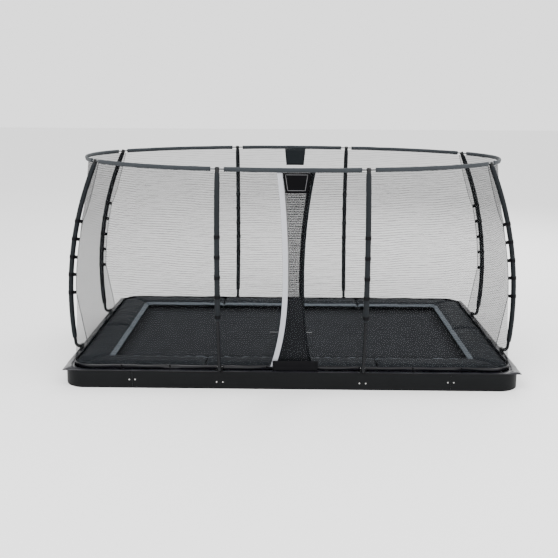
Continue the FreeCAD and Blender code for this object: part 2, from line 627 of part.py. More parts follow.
def sheet_solid(grid, thick):
    """A thin closed solid over a grid of points, its faces flat triangles."""
    rows, columns = len(grid), len(grid[0])

    def normal(i, j):
        i0, i1 = max(i - 1, 0), min(i + 1, rows - 1)
        j0, j1 = max(j - 1, 0), min(j + 1, columns - 1)
        n = (grid[i1][j] - grid[i0][j]).cross(grid[i][j1] - grid[i][j0])
        return n.normalize()

    front = [[grid[i][j] + normal(i, j) * (thick / 2) for j in range(columns)] for i in range(rows)]
    back = [[grid[i][j] - normal(i, j) * (thick / 2) for j in range(columns)] for i in range(rows)]
    faces = []

    def quad(p, q, r, s):
        for corners in ((p, q, r), (p, r, s)):
            faces.append(Part.Face(Part.makePolygon(list(corners) + [corners[0]])))

    for i in range(rows - 1):
        for j in range(columns - 1):
            quad(front[i][j], front[i][j + 1], front[i + 1][j + 1], front[i + 1][j])
            quad(back[i][j], back[i + 1][j], back[i + 1][j + 1], back[i][j + 1])
    for i in range(rows - 1):
        for j in (0, columns - 1):
            quad(front[i][j], front[i + 1][j], back[i + 1][j], back[i][j])
    for j in range(columns - 1):
        for i in (0, rows - 1):
            quad(front[i][j], back[i][j], back[i][j + 1], front[i][j + 1])
    shell = Part.Shell(faces)
    shell.sewShape()
    solid = Part.Solid(shell)
    if solid.Volume < 0:
        solid.reverse()
    assert solid.isValid() and solid.isClosed()
    return solid


NET_LEVELS = [NET_BOTTOM, 560.0, STRAP_LEVELS[0], 1344.0, STRAP_LEVELS[4], 2130.0, NET_TOP]
NET_TRIM = 0.004             # share of a bay left free at each pole


def net_panel(bay, columns):
    """One bay of the net as a thin solid."""
    grid = []
    for z in NET_LEVELS:
        row = []
        for j in range(columns + 1):
            x, y = net_point(bay, NET_TRIM + (1 - 2 * NET_TRIM) * j / columns, z)
            row.append(V(x, y, z))
        grid.append(row)
    return sheet_solid(grid, NET_THICK)


def strip_line(z, middle, top, bottom):
    """How far along X a flap's free edge stands at a height: nearest the middle halfway up."""
    share = (z - NET_BOTTOM) / (NET_TOP - NET_BOTTOM)
    if share > 0.5:
        return middle + (top - middle) * ((share - 0.5) / 0.5) ** 2
    return middle + (bottom - middle) * ((0.5 - share) / 0.5) ** 2.5


LIGHT_EDGE = {"middle": -72.0, "top": -140.0, "bottom": -205.0}
DARK_EDGE = {"middle": 105.0, "top": 213.0, "bottom": 212.0}
FLAP_LIFT = 17.0             # each flap's distance from the net's middle surface
FLAP_LEVELS = [NET_BOTTOM, 400.0, 560.0, 902.0, 1344.0, 1784.0, 2130.0, NET_TOP]


def front_surface(x, z, lift):
    """A point of the entrance bay's surface at an X, lifted out of it towards the front."""
    t = (x + MID_POLE_X) / (2 * MID_POLE_X)
    return V(x, net_point(0, min(max(t, 0.0), 1.0), z)[1] - lift, z)


def make_entrance():
    """Two overlapping flaps with bound edges, the badge and the two patches."""
    edge_gap = 2.0
    for name, side, edge, lift in (("right", 1, LIGHT_EDGE, FLAP_LIFT), ("left", -1, DARK_EDGE, -FLAP_LIFT)):
        grid, strip = [], []
        for z in FLAP_LEVELS:
            free = strip_line(z, **edge) + side * (STRIP_WIDTH / 2 + edge_gap)
            fixed = side * (MID_POLE_X - 4.0)
            columns = 5
            grid.append([front_surface(free + (fixed - free) * j / columns, z,
                                       lift * min(1.0, 2.0 * (1 - j / columns))) for j in range(columns + 1)])
            middle = strip_line(z, **edge)
            strip.append([front_surface(middle + a * STRIP_WIDTH / 2, z, lift) for a in (-1, 1)])
        add("flap_net_" + name, sheet_solid(grid, NET_THICK))
        add("flap_edge_" + name, sheet_solid(strip, NET_THICK + 1))

    badge = [[front_surface(x, z, FLAP_LIFT + 11) for x in (39 - w, 39 + w)]
             for z, w in ((2256.0, 116.0), (NET_TOP - 2, 148.0))]
    add("entrance_badge", sheet_solid(badge, 3.0))
    back_patch = [[V(x, net_point(4, 0.5, z)[1] - 12, z) for x in (50 - w, 50 + w)]
                  for z, w in ((2235.0, 129.0), (NET_TOP, 153.0))]
    add("back_patch", sheet_solid(back_patch, 3.0))
    clear = FLAP_LIFT + 15
    threshold = [[V(x, front_surface(50, max(z, NET_BOTTOM), clear).y, z) for x in (-210, 300)]
                 for z in (HEM_BOTTOM + 2, NET_BOTTOM, 330.0)]
    add("entrance_threshold", sheet_solid(threshold, 3.0))


def make_net():
    """Seven net bays, the bottom hem and the straps that tie the net to the poles."""
    bays = {1: ("net_front_right", 8), 2: ("net_right", 5), 3: ("net_back_right", 8), 4: ("net_back", 5),
            5: ("net_back_left", 8), 6: ("net_left", 5), 7: ("net_front_left", 8)}
    for bay, (name, columns) in bays.items():
        add(name, net_panel(bay, columns))
    add("net_hem", band(HEM_X, HEM_Y, HEM_CORNER_R, HEM_THICK, HEM_BOTTOM, HEM_TOP - 0.5))

    straps = []
    for pole in POLES:
        for z in STRAP_LEVELS:
            up, middle, reach = pole.tangent(z), pole.point(z), pole.reach(z)
            start = middle - up * STRAP_HALF
            loop = cylinder(start, up, FOAM_R + 3.5, 2 * STRAP_HALF)
            loop = loop.cut(cylinder(start - up, up, FOAM_R + 0.3, 2 * STRAP_HALF + 2))
            tab = pole.block((-16, 16), (reach - STRAP_REACH, reach - FOAM_R - 1.5),
                             (z - STRAP_HALF, z + STRAP_HALF))
            lean = FreeCAD.Rotation(V(0, 0, 1), up)
            tab.rotate(middle, lean.Axis, math.degrees(lean.Angle))
            straps.append(loop.fuse(tab).removeSplitter())
    add("net_straps", straps)


make_walls()
make_wall_fixings()
make_spring_rail()
make_mat_and_springs()
make_pads()
make_skirt_and_ties()
make_poles_and_foam()
make_ring()
make_net()
make_entrance()

os.makedirs("parts", exist_ok=True)
for name, solids in parts.items():
    shape = solids[0] if len(solids) == 1 else Part.makeCompound(solids)
    assert all(s.isValid() and s.Volume > 0 for s in shape.Solids), name
    shape.exportStep("parts/" + name + ".step")
    print(name, len(shape.Solids), round(shape.Volume / 1000))
print(len(parts), "nodes")
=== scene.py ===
"""Looks of a rectangular in-ground trampoline with a safety net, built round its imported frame."""
import logging
import math
from dataclasses import dataclass, field
from enum import Enum
from typing import Callable, Optional, Sequence

import bpy
from mathutils import Matrix, Vector, noise


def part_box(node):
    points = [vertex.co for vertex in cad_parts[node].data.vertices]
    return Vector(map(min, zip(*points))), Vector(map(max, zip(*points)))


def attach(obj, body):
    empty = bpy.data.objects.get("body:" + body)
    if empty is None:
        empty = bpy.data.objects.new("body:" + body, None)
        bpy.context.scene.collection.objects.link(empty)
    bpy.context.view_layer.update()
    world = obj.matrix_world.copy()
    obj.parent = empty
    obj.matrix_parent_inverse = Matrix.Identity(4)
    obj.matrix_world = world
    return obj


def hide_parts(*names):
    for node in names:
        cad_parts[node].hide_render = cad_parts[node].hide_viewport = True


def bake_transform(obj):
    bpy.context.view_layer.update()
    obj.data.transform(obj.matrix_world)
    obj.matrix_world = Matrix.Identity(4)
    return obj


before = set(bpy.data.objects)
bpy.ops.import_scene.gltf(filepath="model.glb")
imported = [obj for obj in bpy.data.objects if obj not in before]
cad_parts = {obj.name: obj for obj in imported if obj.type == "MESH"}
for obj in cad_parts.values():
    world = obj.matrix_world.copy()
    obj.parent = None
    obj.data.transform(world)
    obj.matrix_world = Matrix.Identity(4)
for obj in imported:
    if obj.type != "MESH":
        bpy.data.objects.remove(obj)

LOG = logging.getLogger("trampoline")
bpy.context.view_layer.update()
TAU = 2 * math.pi
FRAME_BODY, MAT_BODY = "frame", "mat"
SocketValue = float | str | Sequence[float] | bpy.types.NodeSocket


class Side(Enum):
    """The four sides of the frame: outward direction in plan."""

    FRONT = (0, -1)
    RIGHT = (1, 0)
    BACK = (0, 1)
    LEFT = (-1, 0)

    @property
    def label(self) -> str:
        """The side's name as the nodes spell it."""
        return self.name.lower()


def mix(a: float, b: float, share: float) -> float:
    """The value a share of the way from a to b."""
    return a + (b - a) * share


def smooth(value: float) -> float:
    """Eases a value from 0 to 1 at both ends, held to that range."""
    value = min(max(value, 0.0), 1.0)
    return value * value * (3 - 2 * value)


def ripple(x: float, y: float, z: float) -> float:
    """Smooth noise from about -1 to 1 at a place."""
    return noise.noise(Vector((x, y, z)))


# ---------------------------------------------------------------- meshes


class Surface:
    """Collects the points, faces, texture places and finish numbers of one mesh."""

    def __init__(self) -> None:
        """Starts with nothing in it."""
        self.points: list[Vector] = []
        self.faces: list[tuple[int, ...]] = []
        self.places: list[list[tuple[float, float]]] = []
        self.finishes: list[int] = []

    def face(self, corners: Sequence[int], finish: int = 0,
             places: Optional[Sequence[tuple[float, float]]] = None) -> None:
        """Adds one face over points that are already in.

        Args:
            corners: numbers of the face's points, in order.
            finish: number of the material.
            places: texture place of each corner.
        """
        self.faces.append(tuple(corners))
        self.finishes.append(finish)
        self.places.append(list(places) if places else [(0.0, 0.0)] * len(corners))

    def grid(self, rows: Sequence[Sequence[Vector]], finish: Callable[[int, int], int] | int = 0,
             places: Optional[Sequence[Sequence[tuple[float, float]]]] = None,
             round_rows: bool = False) -> list[list[int]]:
        """Adds a sheet of quads over rows of points.

        Args:
            rows: the points, row by row.
            finish: material number, or a function of row and column that gives it.
            places: texture place of each point.
            round_rows: joins each row's end to its start.

        Returns:
            The numbers of the points, row by row.
        """
        first = len(self.points)
        width = len(rows[0])
        numbers = [[first + i * width + j for j in range(width)] for i in range(len(rows))]
        for row in rows:
            self.points.extend(Vector(p) for p in row)
        last = width if round_rows else width - 1
        for i in range(len(rows) - 1):
            for j in range(last):
                k = (j + 1) % width
                corners = [numbers[i][j], numbers[i][k], numbers[i + 1][k], numbers[i + 1][j]]
                at = None
                if places:
                    at = [places[i][j], places[i][k], places[i + 1][k], places[i + 1][j]]
                self.face(corners, finish(i, j) if callable(finish) else finish, at)
        return numbers

    def tube(self, path: Sequence[Vector], radius: float | Sequence[float], sides: int = 12,
             finish: int = 0, capped: bool = True, section: Optional[Sequence[tuple[float, float]]] = None,
             up: Vector = Vector((0, 0, 1))) -> None:
        """Sweeps a round or given section along a path.

        Args:
            path: points of the centre line.
            radius: one radius, or one for each point, which also scales a given section.
            sides: corners of the round section.
            finish: material number.
            capped: closes both ends.
            section: corners across the path, sideways and along up, in place of a circle.
            up: direction that the section's second number follows.
        """
        if section is None:
            section = [(math.cos(TAU * k / sides), math.sin(TAU * k / sides)) for k in range(sides)]
            scale = radius
        else:
            scale = radius if isinstance(radius, Sequence) else 1.0
        rows, along, places = [], 0.0, []
        for i, point in enumerate(path):
            ahead = path[min(i + 1, len(path) - 1)] - path[max(i - 1, 0)]
            ahead.normalize()
            side = ahead.cross(up)
            side = side.normalized() if side.length > 1e-6 else Vector((1, 0, 0))
            rise = side.cross(ahead).normalized()
            size = scale[i] if isinstance(scale, Sequence) else scale
            rows.append([point + side * a * size + rise * b * size for a, b in section])
            along += (path[i] - path[i - 1]).length if i else 0.0
            places.append([(k / len(section), along) for k in range(len(section))])
        numbers = self.grid(rows, finish, places, round_rows=True)
        if capped:
            self.face(list(reversed(numbers[0])), finish)
            self.face(numbers[-1], finish)

    def slab(self, top: Sequence[Sequence[Vector]], bottom: Sequence[Sequence[Vector]],
             finish: Callable[[int, int], int] | int = 0,
             places: Optional[Sequence[Sequence[tuple[float, float]]]] = None) -> None:
        """Adds a closed body between a top and a bottom sheet with the same rows and columns.

        Args:
            top: the upper sheet's points, row by row.
            bottom: the lower sheet's points, row by row.
            finish: material number of the top, or a function of row and column that gives it.
            places: texture place of each point.
        """
        upper = self.grid(top, finish, places)
        lower = self.grid([list(row) for row in bottom], 0, places)
        self.faces[-(len(lower) - 1) * (len(lower[0]) - 1):] = [
            tuple(reversed(f)) for f in self.faces[-(len(lower) - 1) * (len(lower[0]) - 1):]]
        rows, columns = len(upper), len(upper[0])
        rim = [(0, j) for j in range(columns)] + [(i, columns - 1) for i in range(1, rows)]
        rim += [(rows - 1, j) for j in range(columns - 2, -1, -1)] + [(i, 0) for i in range(rows - 2, 0, -1)]
        for k, (i, j) in enumerate(rim):
            m, n = rim[(k + 1) % len(rim)]
            self.face([upper[i][j], lower[i][j], lower[m][n], upper[m][n]])

    def build(self, name: str, materials: Sequence[bpy.types.Material], smooth_faces: bool = True,
              thick: float = 0.0) -> bpy.types.Object:
        """Makes the mesh object.

        Args:
            name: the piece's name.
            materials: finishes in the order of their numbers.
            smooth_faces: shades the faces smooth.
            thick: gives a single sheet this thickness.

        Returns:
            The object, linked to the scene.
        """
        mesh = bpy.data.meshes.new(name)
        mesh.from_pydata([tuple(p) for p in self.points], [], self.faces)
        layer = mesh.uv_layers.new(name="cloth")
        flat = [c for corners in self.places for place in corners for c in place]
        layer.data.foreach_set("uv", flat)
        mesh.polygons.foreach_set("material_index", self.finishes)
        mesh.polygons.foreach_set("use_smooth", [smooth_faces] * len(self.faces))
        for material in materials:
            mesh.materials.append(material)
        mesh.validate()
        piece = bpy.data.objects.new(name, mesh)
        bpy.context.scene.collection.objects.link(piece)
        if thick:
            solid = piece.modifiers.new("thickness", "SOLIDIFY")
            solid.thickness = thick
            solid.offset = 0.0
        return piece


def puffed(piece: bpy.types.Object, sewn: Sequence[int], pressure: float, spare: float, cap: float,
           steps: int = 18) -> None:
    """Fills a closed cover like a cushion with a short cloth run, and keeps the shape it takes.

    Args:
        piece: the cover's mesh object.
        sewn: numbers of the points that the seams hold.
        pressure: how hard the filling pushes.
        spare: share of spare cloth, which wrinkles.
        cap: the furthest that a point may move.
        steps: steps of the run.
    """
    group = piece.vertex_groups.new(name="sewn")
    group.add(list(sewn), 1.0, "REPLACE")
    cloth = piece.modifiers.new("filling", "CLOTH")
    cloth.settings.vertex_group_mass = group.name
    cloth.settings.quality = 4
    cloth.settings.use_pressure = True
    cloth.settings.uniform_pressure_force = pressure
    cloth.settings.shrink_min = -spare
    cloth.settings.bending_stiffness = 0.8
    cloth.settings.effector_weights.gravity = 0.0
    cloth.collision_settings.use_collision = False
    cloth.point_cache.frame_end = steps
    for step in range(1, steps + 1):
        bpy.context.scene.frame_set(step)
    shape = piece.evaluated_get(bpy.context.evaluated_depsgraph_get()).to_mesh()
    moved = [v.co.copy() for v in shape.vertices]
    for vertex, goal in zip(piece.data.vertices, moved):
        move = goal - vertex.co
        if move.length > cap:
            move *= cap / move.length
        vertex.co += move
    piece.modifiers.remove(cloth)
    bpy.context.scene.frame_set(1)


# ---------------------------------------------------------------- finishes


class Graph:
    """A short way to place and join the nodes of a material or a node group."""

    def __init__(self, tree: bpy.types.NodeTree) -> None:
        """Works on one node tree."""
        self.tree = tree

    def node(self, kind: str, inputs: Optional[dict[str | int, SocketValue]] = None,
             **settings: object) -> bpy.types.Node:
        """Adds a node.

        Args:
            kind: the node's type name without its ShaderNode prefix.
            inputs: socket name or number to a value or to the output that feeds it.
            settings: the node's own properties.

        Returns:
            The node.
        """
        made = self.tree.nodes.new("ShaderNode" + kind)
        for key, value in settings.items():
            setattr(made, key, value)
        for key, value in (inputs or {}).items():
            self.feed(made.inputs[key], value)
        return made

    def feed(self, socket: bpy.types.NodeSocket, value: SocketValue) -> None:
        """Gives a socket a value, or joins an output to it.

        Args:
            socket: the input.
            value: a plain value, or the output that feeds it.
        """
        if isinstance(value, bpy.types.NodeSocket):
            self.tree.links.new(value, socket)
        else:
            socket.default_value = value

    def math(self, operation: str, *values: SocketValue, clamp: bool = False) -> bpy.types.NodeSocket:
        """A number worked out from one to three others.

        Args:
            operation: the Math node's operation.
            values: the numbers, or the outputs that give them.
            clamp: holds the result from 0 to 1.

        Returns:
            The output with the result.
        """
        made = self.tree.nodes.new("ShaderNodeMath")
        made.operation = operation
        made.use_clamp = clamp
        for socket, value in zip(made.inputs, values):
            self.feed(socket, value)
        return made.outputs[0]

    def blend(self, share: SocketValue, low: SocketValue, high: SocketValue) -> bpy.types.NodeSocket:
        """A colour between two others.

        Args:
            share: 0 for the first, 1 for the second.
            low: the first colour.
            high: the second colour.

        Returns:
            The output with the colour.
        """
        made = self.tree.nodes.new("ShaderNodeMix")
        made.data_type = "RGBA"
        for socket, value in zip((made.inputs[0], made.inputs[6], made.inputs[7]), (share, low, high)):
            self.feed(socket, value)
        return made.outputs[2]

    def span(self, value: SocketValue, low: float, high: float, to_low: float,
             to_high: float) -> bpy.types.NodeSocket:
        """A number moved from one range to another, held to its ends.

        Args:
            value: the number.
            low: start of its own range.
            high: end of its own range.
            to_low: start of the new range.
            to_high: end of the new range.

        Returns:
            The output with the moved number.
        """
        made = self.node("MapRange", {"Value": value, "From Min": low, "From Max": high,
                                      "To Min": to_low, "To Max": to_high})
        return made.outputs[0]


def new_group(name: str, inputs: dict[str, float], outputs: Sequence[str]) -> tuple[bpy.types.NodeTree, Graph,
                                                                                 dict, bpy.types.Node]:
    """Starts a shader node group with number inputs and number outputs.

    Args:
        name: the group's name.
        inputs: socket names and their usual values.
        outputs: names of the outputs.

    Returns:
        The group, its graph, its input sockets by name, and its output node.
    """
    group = bpy.data.node_groups.new(name, "ShaderNodeTree")
    for label, value in inputs.items():
        socket = group.interface.new_socket(label, in_out="INPUT", socket_type="NodeSocketFloat")
        socket.default_value = value
    for label in outputs:
        group.interface.new_socket(label, in_out="OUTPUT", socket_type="NodeSocketFloat")
    graph = Graph(group)
    start = group.nodes.new("NodeGroupInput")
    end = group.nodes.new("NodeGroupOutput")
    return group, graph, {s.name: s for s in start.outputs if s.name}, end


class Effects:
    """Node groups that several finishes share."""

    def __init__(self) -> None:
        """Builds the groups once."""
        self.weave = self._weave()
        self.soil = self._soil()
        self.netting = self._netting()
        # Painted shade along the mat's edges.
        self.middle = self._middle()

    @staticmethod
    def _weave() -> bpy.types.NodeTree:
        """Crossing threads on the cloth's own texture places: height and shade.

        Returns:
            The group, with the threads' height and shade.
        """
        group, graph, given, end = new_group("thread_weave", {"Pitch mm": 2.0, "Fuzz": 0.3},
                                             ("Height", "Shade"))
        place = graph.node("UVMap", uv_map="cloth").outputs[0]
        split = graph.node("SeparateXYZ", {0: place})
        turns = graph.math("DIVIDE", 1000.0 * math.pi, given["Pitch mm"])
        across = graph.math("SINE", graph.math("MULTIPLY", split.outputs[0], turns))
        along = graph.math("SINE", graph.math("MULTIPLY", split.outputs[1], turns))
        cloth = graph.math("MULTIPLY", across, along)
        fine = graph.node("TexNoise", {"Vector": place, "Scale": 260.0, "Detail": 2.0}).outputs[0]
        rough = graph.math("MULTIPLY", graph.math("SUBTRACT", fine, 0.5), given["Fuzz"])
        height = graph.math("ADD", graph.math("MULTIPLY", cloth, 0.5), rough)
        broad = graph.node("TexNoise", {"Vector": place, "Scale": 3.0, "Detail": 4.0}).outputs[0]
        shade = graph.math("ADD", graph.math("MULTIPLY", cloth, 0.12), graph.math("MULTIPLY", broad, 0.9))
        graph.feed(end.inputs["Height"], height)
        graph.feed(end.inputs["Shade"], shade)
        return group

    @staticmethod
    def _soil() -> bpy.types.NodeTree:
        """Dust and scuffs by place: how much lies there, and fine grain height.

        Returns:
            The group, with the dust's amount and the grain.
        """
        group, graph, given, end = new_group("dust_and_scuffs", {"Amount": 0.5, "Grain": 400.0},
                                             ("Dust", "Grain"))
        place = graph.node("TexCoord").outputs["Object"]
        cloud = graph.node("TexNoise", {"Vector": place, "Scale": 2.4, "Detail": 6.0, "Roughness": 0.62})
        patches = graph.span(cloud.outputs[0], 0.42, 0.72, 0.0, 1.0)
        stretch = graph.node("Mapping", {"Vector": place, "Scale": (3.0, 3.0, 40.0)}).outputs[0]
        marks = graph.node("TexNoise", {"Vector": stretch, "Scale": 2.0, "Detail": 5.0}).outputs[0]
        scuffs = graph.span(marks, 0.60, 0.74, 0.0, 0.6)
        dust = graph.math("MULTIPLY", graph.math("ADD", patches, scuffs), given["Amount"], clamp=True)
        grain = graph.node("TexNoise", {"Vector": place, "Scale": given["Grain"], "Detail": 2.0}).outputs[0]
        graph.feed(end.inputs["Dust"], dust)
        graph.feed(end.inputs["Grain"], grain)
        return group

    @staticmethod
    def _middle() -> bpy.types.NodeTree:
        """Painted shade on a jumping mat by the distance from its edges, where the pads would shade it: dark
        there, lighter inside.

        Returns:
            The group, with 0 in the painted shade at the edges rising to 1 inside.
        """
        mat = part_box("jump_mat")[1]
        group, graph, _, end = new_group("worn_middle", {}, ("Wear",))
        place = graph.node("UVMap", uv_map="cloth").outputs[0]
        split = graph.node("SeparateXYZ", {0: place})
        gap_x = graph.math("SUBTRACT", mat.x, graph.math("ABSOLUTE", split.outputs[0]))
        gap_y = graph.math("SUBTRACT", mat.y, graph.math("ABSOLUTE", split.outputs[1]))
        cloud = graph.node("TexNoise", {"Vector": place, "Scale": 2.2, "Detail": 3.0}).outputs[0]
        gap = graph.math("ADD", graph.math("MINIMUM", gap_x, gap_y), graph.math("MULTIPLY", cloud, 0.16))
        # 0 at the edges, in full painted shade, to 1 inside, out of the shade.
        graph.feed(end.inputs["Wear"], graph.span(gap, 0.18, 0.46, 0.0, 1.0))
        return group

    @staticmethod
    def _netting() -> bpy.types.NodeTree:
        """A knitted net on the cloth's texture places: how much of each place is thread.

        Returns:
            The group, with the covered share and the thread.
        """
        group, graph, given, end = new_group(
            "knitted_net", {"Row mm": 26.0, "Column mm": 13.0, "Cover": 0.22}, ("Cover", "Thread"))
        place = graph.node("UVMap", uv_map="cloth").outputs[0]
        waver = graph.node("TexNoise", {"Vector": place, "Scale": 1.7, "Detail": 2.0}).outputs[0]
        split = graph.node("SeparateXYZ", {0: place})
        level = graph.math("ADD", split.outputs[1], graph.math("MULTIPLY", waver, 0.05))
        row = graph.math("ABSOLUTE", graph.math("SINE", graph.math(
            "MULTIPLY", level, graph.math("DIVIDE", 1000.0 * math.pi, given["Row mm"]))))
        column = graph.math("ABSOLUTE", graph.math("SINE", graph.math(
            "MULTIPLY", split.outputs[0], graph.math("DIVIDE", 1000.0 * math.pi, given["Column mm"]))))
        rows = graph.span(row, 0.0, 0.34, 1.0, 0.0)
        columns = graph.span(column, 0.0, 0.16, 0.55, 0.0)
        dashes = graph.node("Mapping", {"Vector": place, "Scale": (2.2, 30.0, 1.0)}).outputs[0]
        streak = graph.node("TexNoise", {"Vector": dashes, "Scale": 2.0, "Detail": 3.0}).outputs[0]
        strength = graph.span(streak, 0.30, 0.70, 0.35, 1.75)
        thread = graph.math("MAXIMUM", graph.math("MULTIPLY", rows, strength), columns)
        cover = graph.math("ADD", graph.math("MULTIPLY", thread, 0.48), given["Cover"], clamp=True)
        graph.feed(end.inputs["Cover"], cover)
        graph.feed(end.inputs["Thread"], thread)
        return group


@dataclass(frozen=True)
class Finish:
    """A surface finish: its shader's plain values and how its detail is laid on."""

    name: str
    color: tuple[float, float, float]
    roughness: float = 0.5
    metallic: float = 0.0
    dust: float = 0.3
    dusting: float = 2.2
    grain: float = 400.0
    grain_depth: float = 0.0004
    weave_mm: float = 0.0
    weave_depth: float = 0.0003
    sheen: float = 0.0
    coat: float = 0.0
    specular: float = 0.5
    variation: float = 0.25
    # Strength of the painted shade along the mat's edges.
    worn: float = 0.0

    def material(self, effects: Effects) -> bpy.types.Material:
        """Builds the material.

        Args:
            effects: the shared node groups.

        Returns:
            The material, with its own shader.
        """
        made = bpy.data.materials.new(self.name)
        made.use_nodes = True
        tree = made.node_tree
        tree.nodes.clear()
        graph = Graph(tree)
        soil = graph.node("Group", node_tree=effects.soil)
        soil.inputs["Amount"].default_value = self.dust
        soil.inputs["Grain"].default_value = self.grain
        base = (*self.color, 1.0)
        light = (*[min(c * (1 + self.variation * 2), 1.0) for c in self.color], 1.0)
        dusty = (*[min(c * self.dusting + 0.001, 1.0) for c in self.color], 1.0)
        if self.weave_mm:
            weave = graph.node("Group", node_tree=effects.weave)
            weave.inputs["Pitch mm"].default_value = self.weave_mm
            tone = graph.blend(weave.outputs["Shade"], base, light)
            height, depth = weave.outputs["Height"], self.weave_depth
        else:
            place = graph.node("TexCoord").outputs["Object"]
            broad = graph.node("TexNoise", {"Vector": place, "Scale": 1.6, "Detail": 5.0}).outputs[0]
            tone = graph.blend(broad, base, light)
            height, depth = soil.outputs["Grain"], self.grain_depth
        color = graph.blend(graph.math("MULTIPLY", soil.outputs["Dust"], 0.55), tone, dusty)
        # Painted shade: the mat's colour darkens to 0.14 of itself towards its edges, in place of the pads'
        # shadow.
        if self.worn:
            middle = graph.node("Group", node_tree=effects.middle)
            edge_shade_colour = (*[c * 0.14 for c in self.color], 1.0)
            color = graph.blend(graph.math("MULTIPLY", middle.outputs["Wear"], self.worn), edge_shade_colour, color)
        rough = graph.math("ADD", graph.math("MULTIPLY", soil.outputs["Dust"], 0.3),
                           graph.span(soil.outputs["Grain"], 0.3, 0.7, self.roughness - 0.06,
                                      self.roughness + 0.06), clamp=True)
        bump = graph.node("Bump", {"Height": height, "Distance": depth, "Strength": 0.8})
        shader = graph.node("BsdfPrincipled", {"Base Color": color, "Roughness": rough,
                                               "Normal": bump.outputs[0]})
        shader.inputs["Metallic"].default_value = self.metallic
        shader.inputs["Specular IOR Level"].default_value = self.specular
        shader.inputs["Sheen Weight"].default_value = self.sheen
        shader.inputs["Coat Weight"].default_value = self.coat
        shader.inputs["Coat Roughness"].default_value = 0.18
        out = graph.node("OutputMaterial")
        tree.links.new(shader.outputs[0], out.inputs[0])
        return made


@dataclass(frozen=True)
class NetFinish:
    """The see-through knitted net: dark threads with open holes between them."""

    name: str
    color: tuple[float, float, float] = (0.0066, 0.0071, 0.0077)
    cover: float = 0.29
    row_mm: float = 26.0
    column_mm: float = 13.0

    def material(self, effects: Effects) -> bpy.types.Material:
        """Builds the material from the shared net group.

        Args:
            effects: the shared node groups.

        Returns:
            The material, open where there is no thread.
        """
        made = bpy.data.materials.new(self.name)
        made.use_nodes = True
        tree = made.node_tree
        tree.nodes.clear()
        graph = Graph(tree)
        net = graph.node("Group", node_tree=effects.netting)
        net.inputs["Cover"].default_value = self.cover
        net.inputs["Row mm"].default_value = self.row_mm
        net.inputs["Column mm"].default_value = self.column_mm
        base = (*self.color, 1.0)
        pale = (*[c * 1.15 for c in self.color], 1.0)
        color = graph.blend(net.outputs["Thread"], pale, base)
        bump = graph.node("Bump", {"Height": net.outputs["Thread"], "Distance": 0.0008})
        shader = graph.node("BsdfPrincipled", {"Base Color": color, "Alpha": net.outputs["Cover"],
                                               "Normal": bump.outputs[0]})
        shader.inputs["Roughness"].default_value = 0.75
        shader.inputs["Specular IOR Level"].default_value = 0.03
        out = graph.node("OutputMaterial")
        tree.links.new(shader.outputs[0], out.inputs[0])
        return made


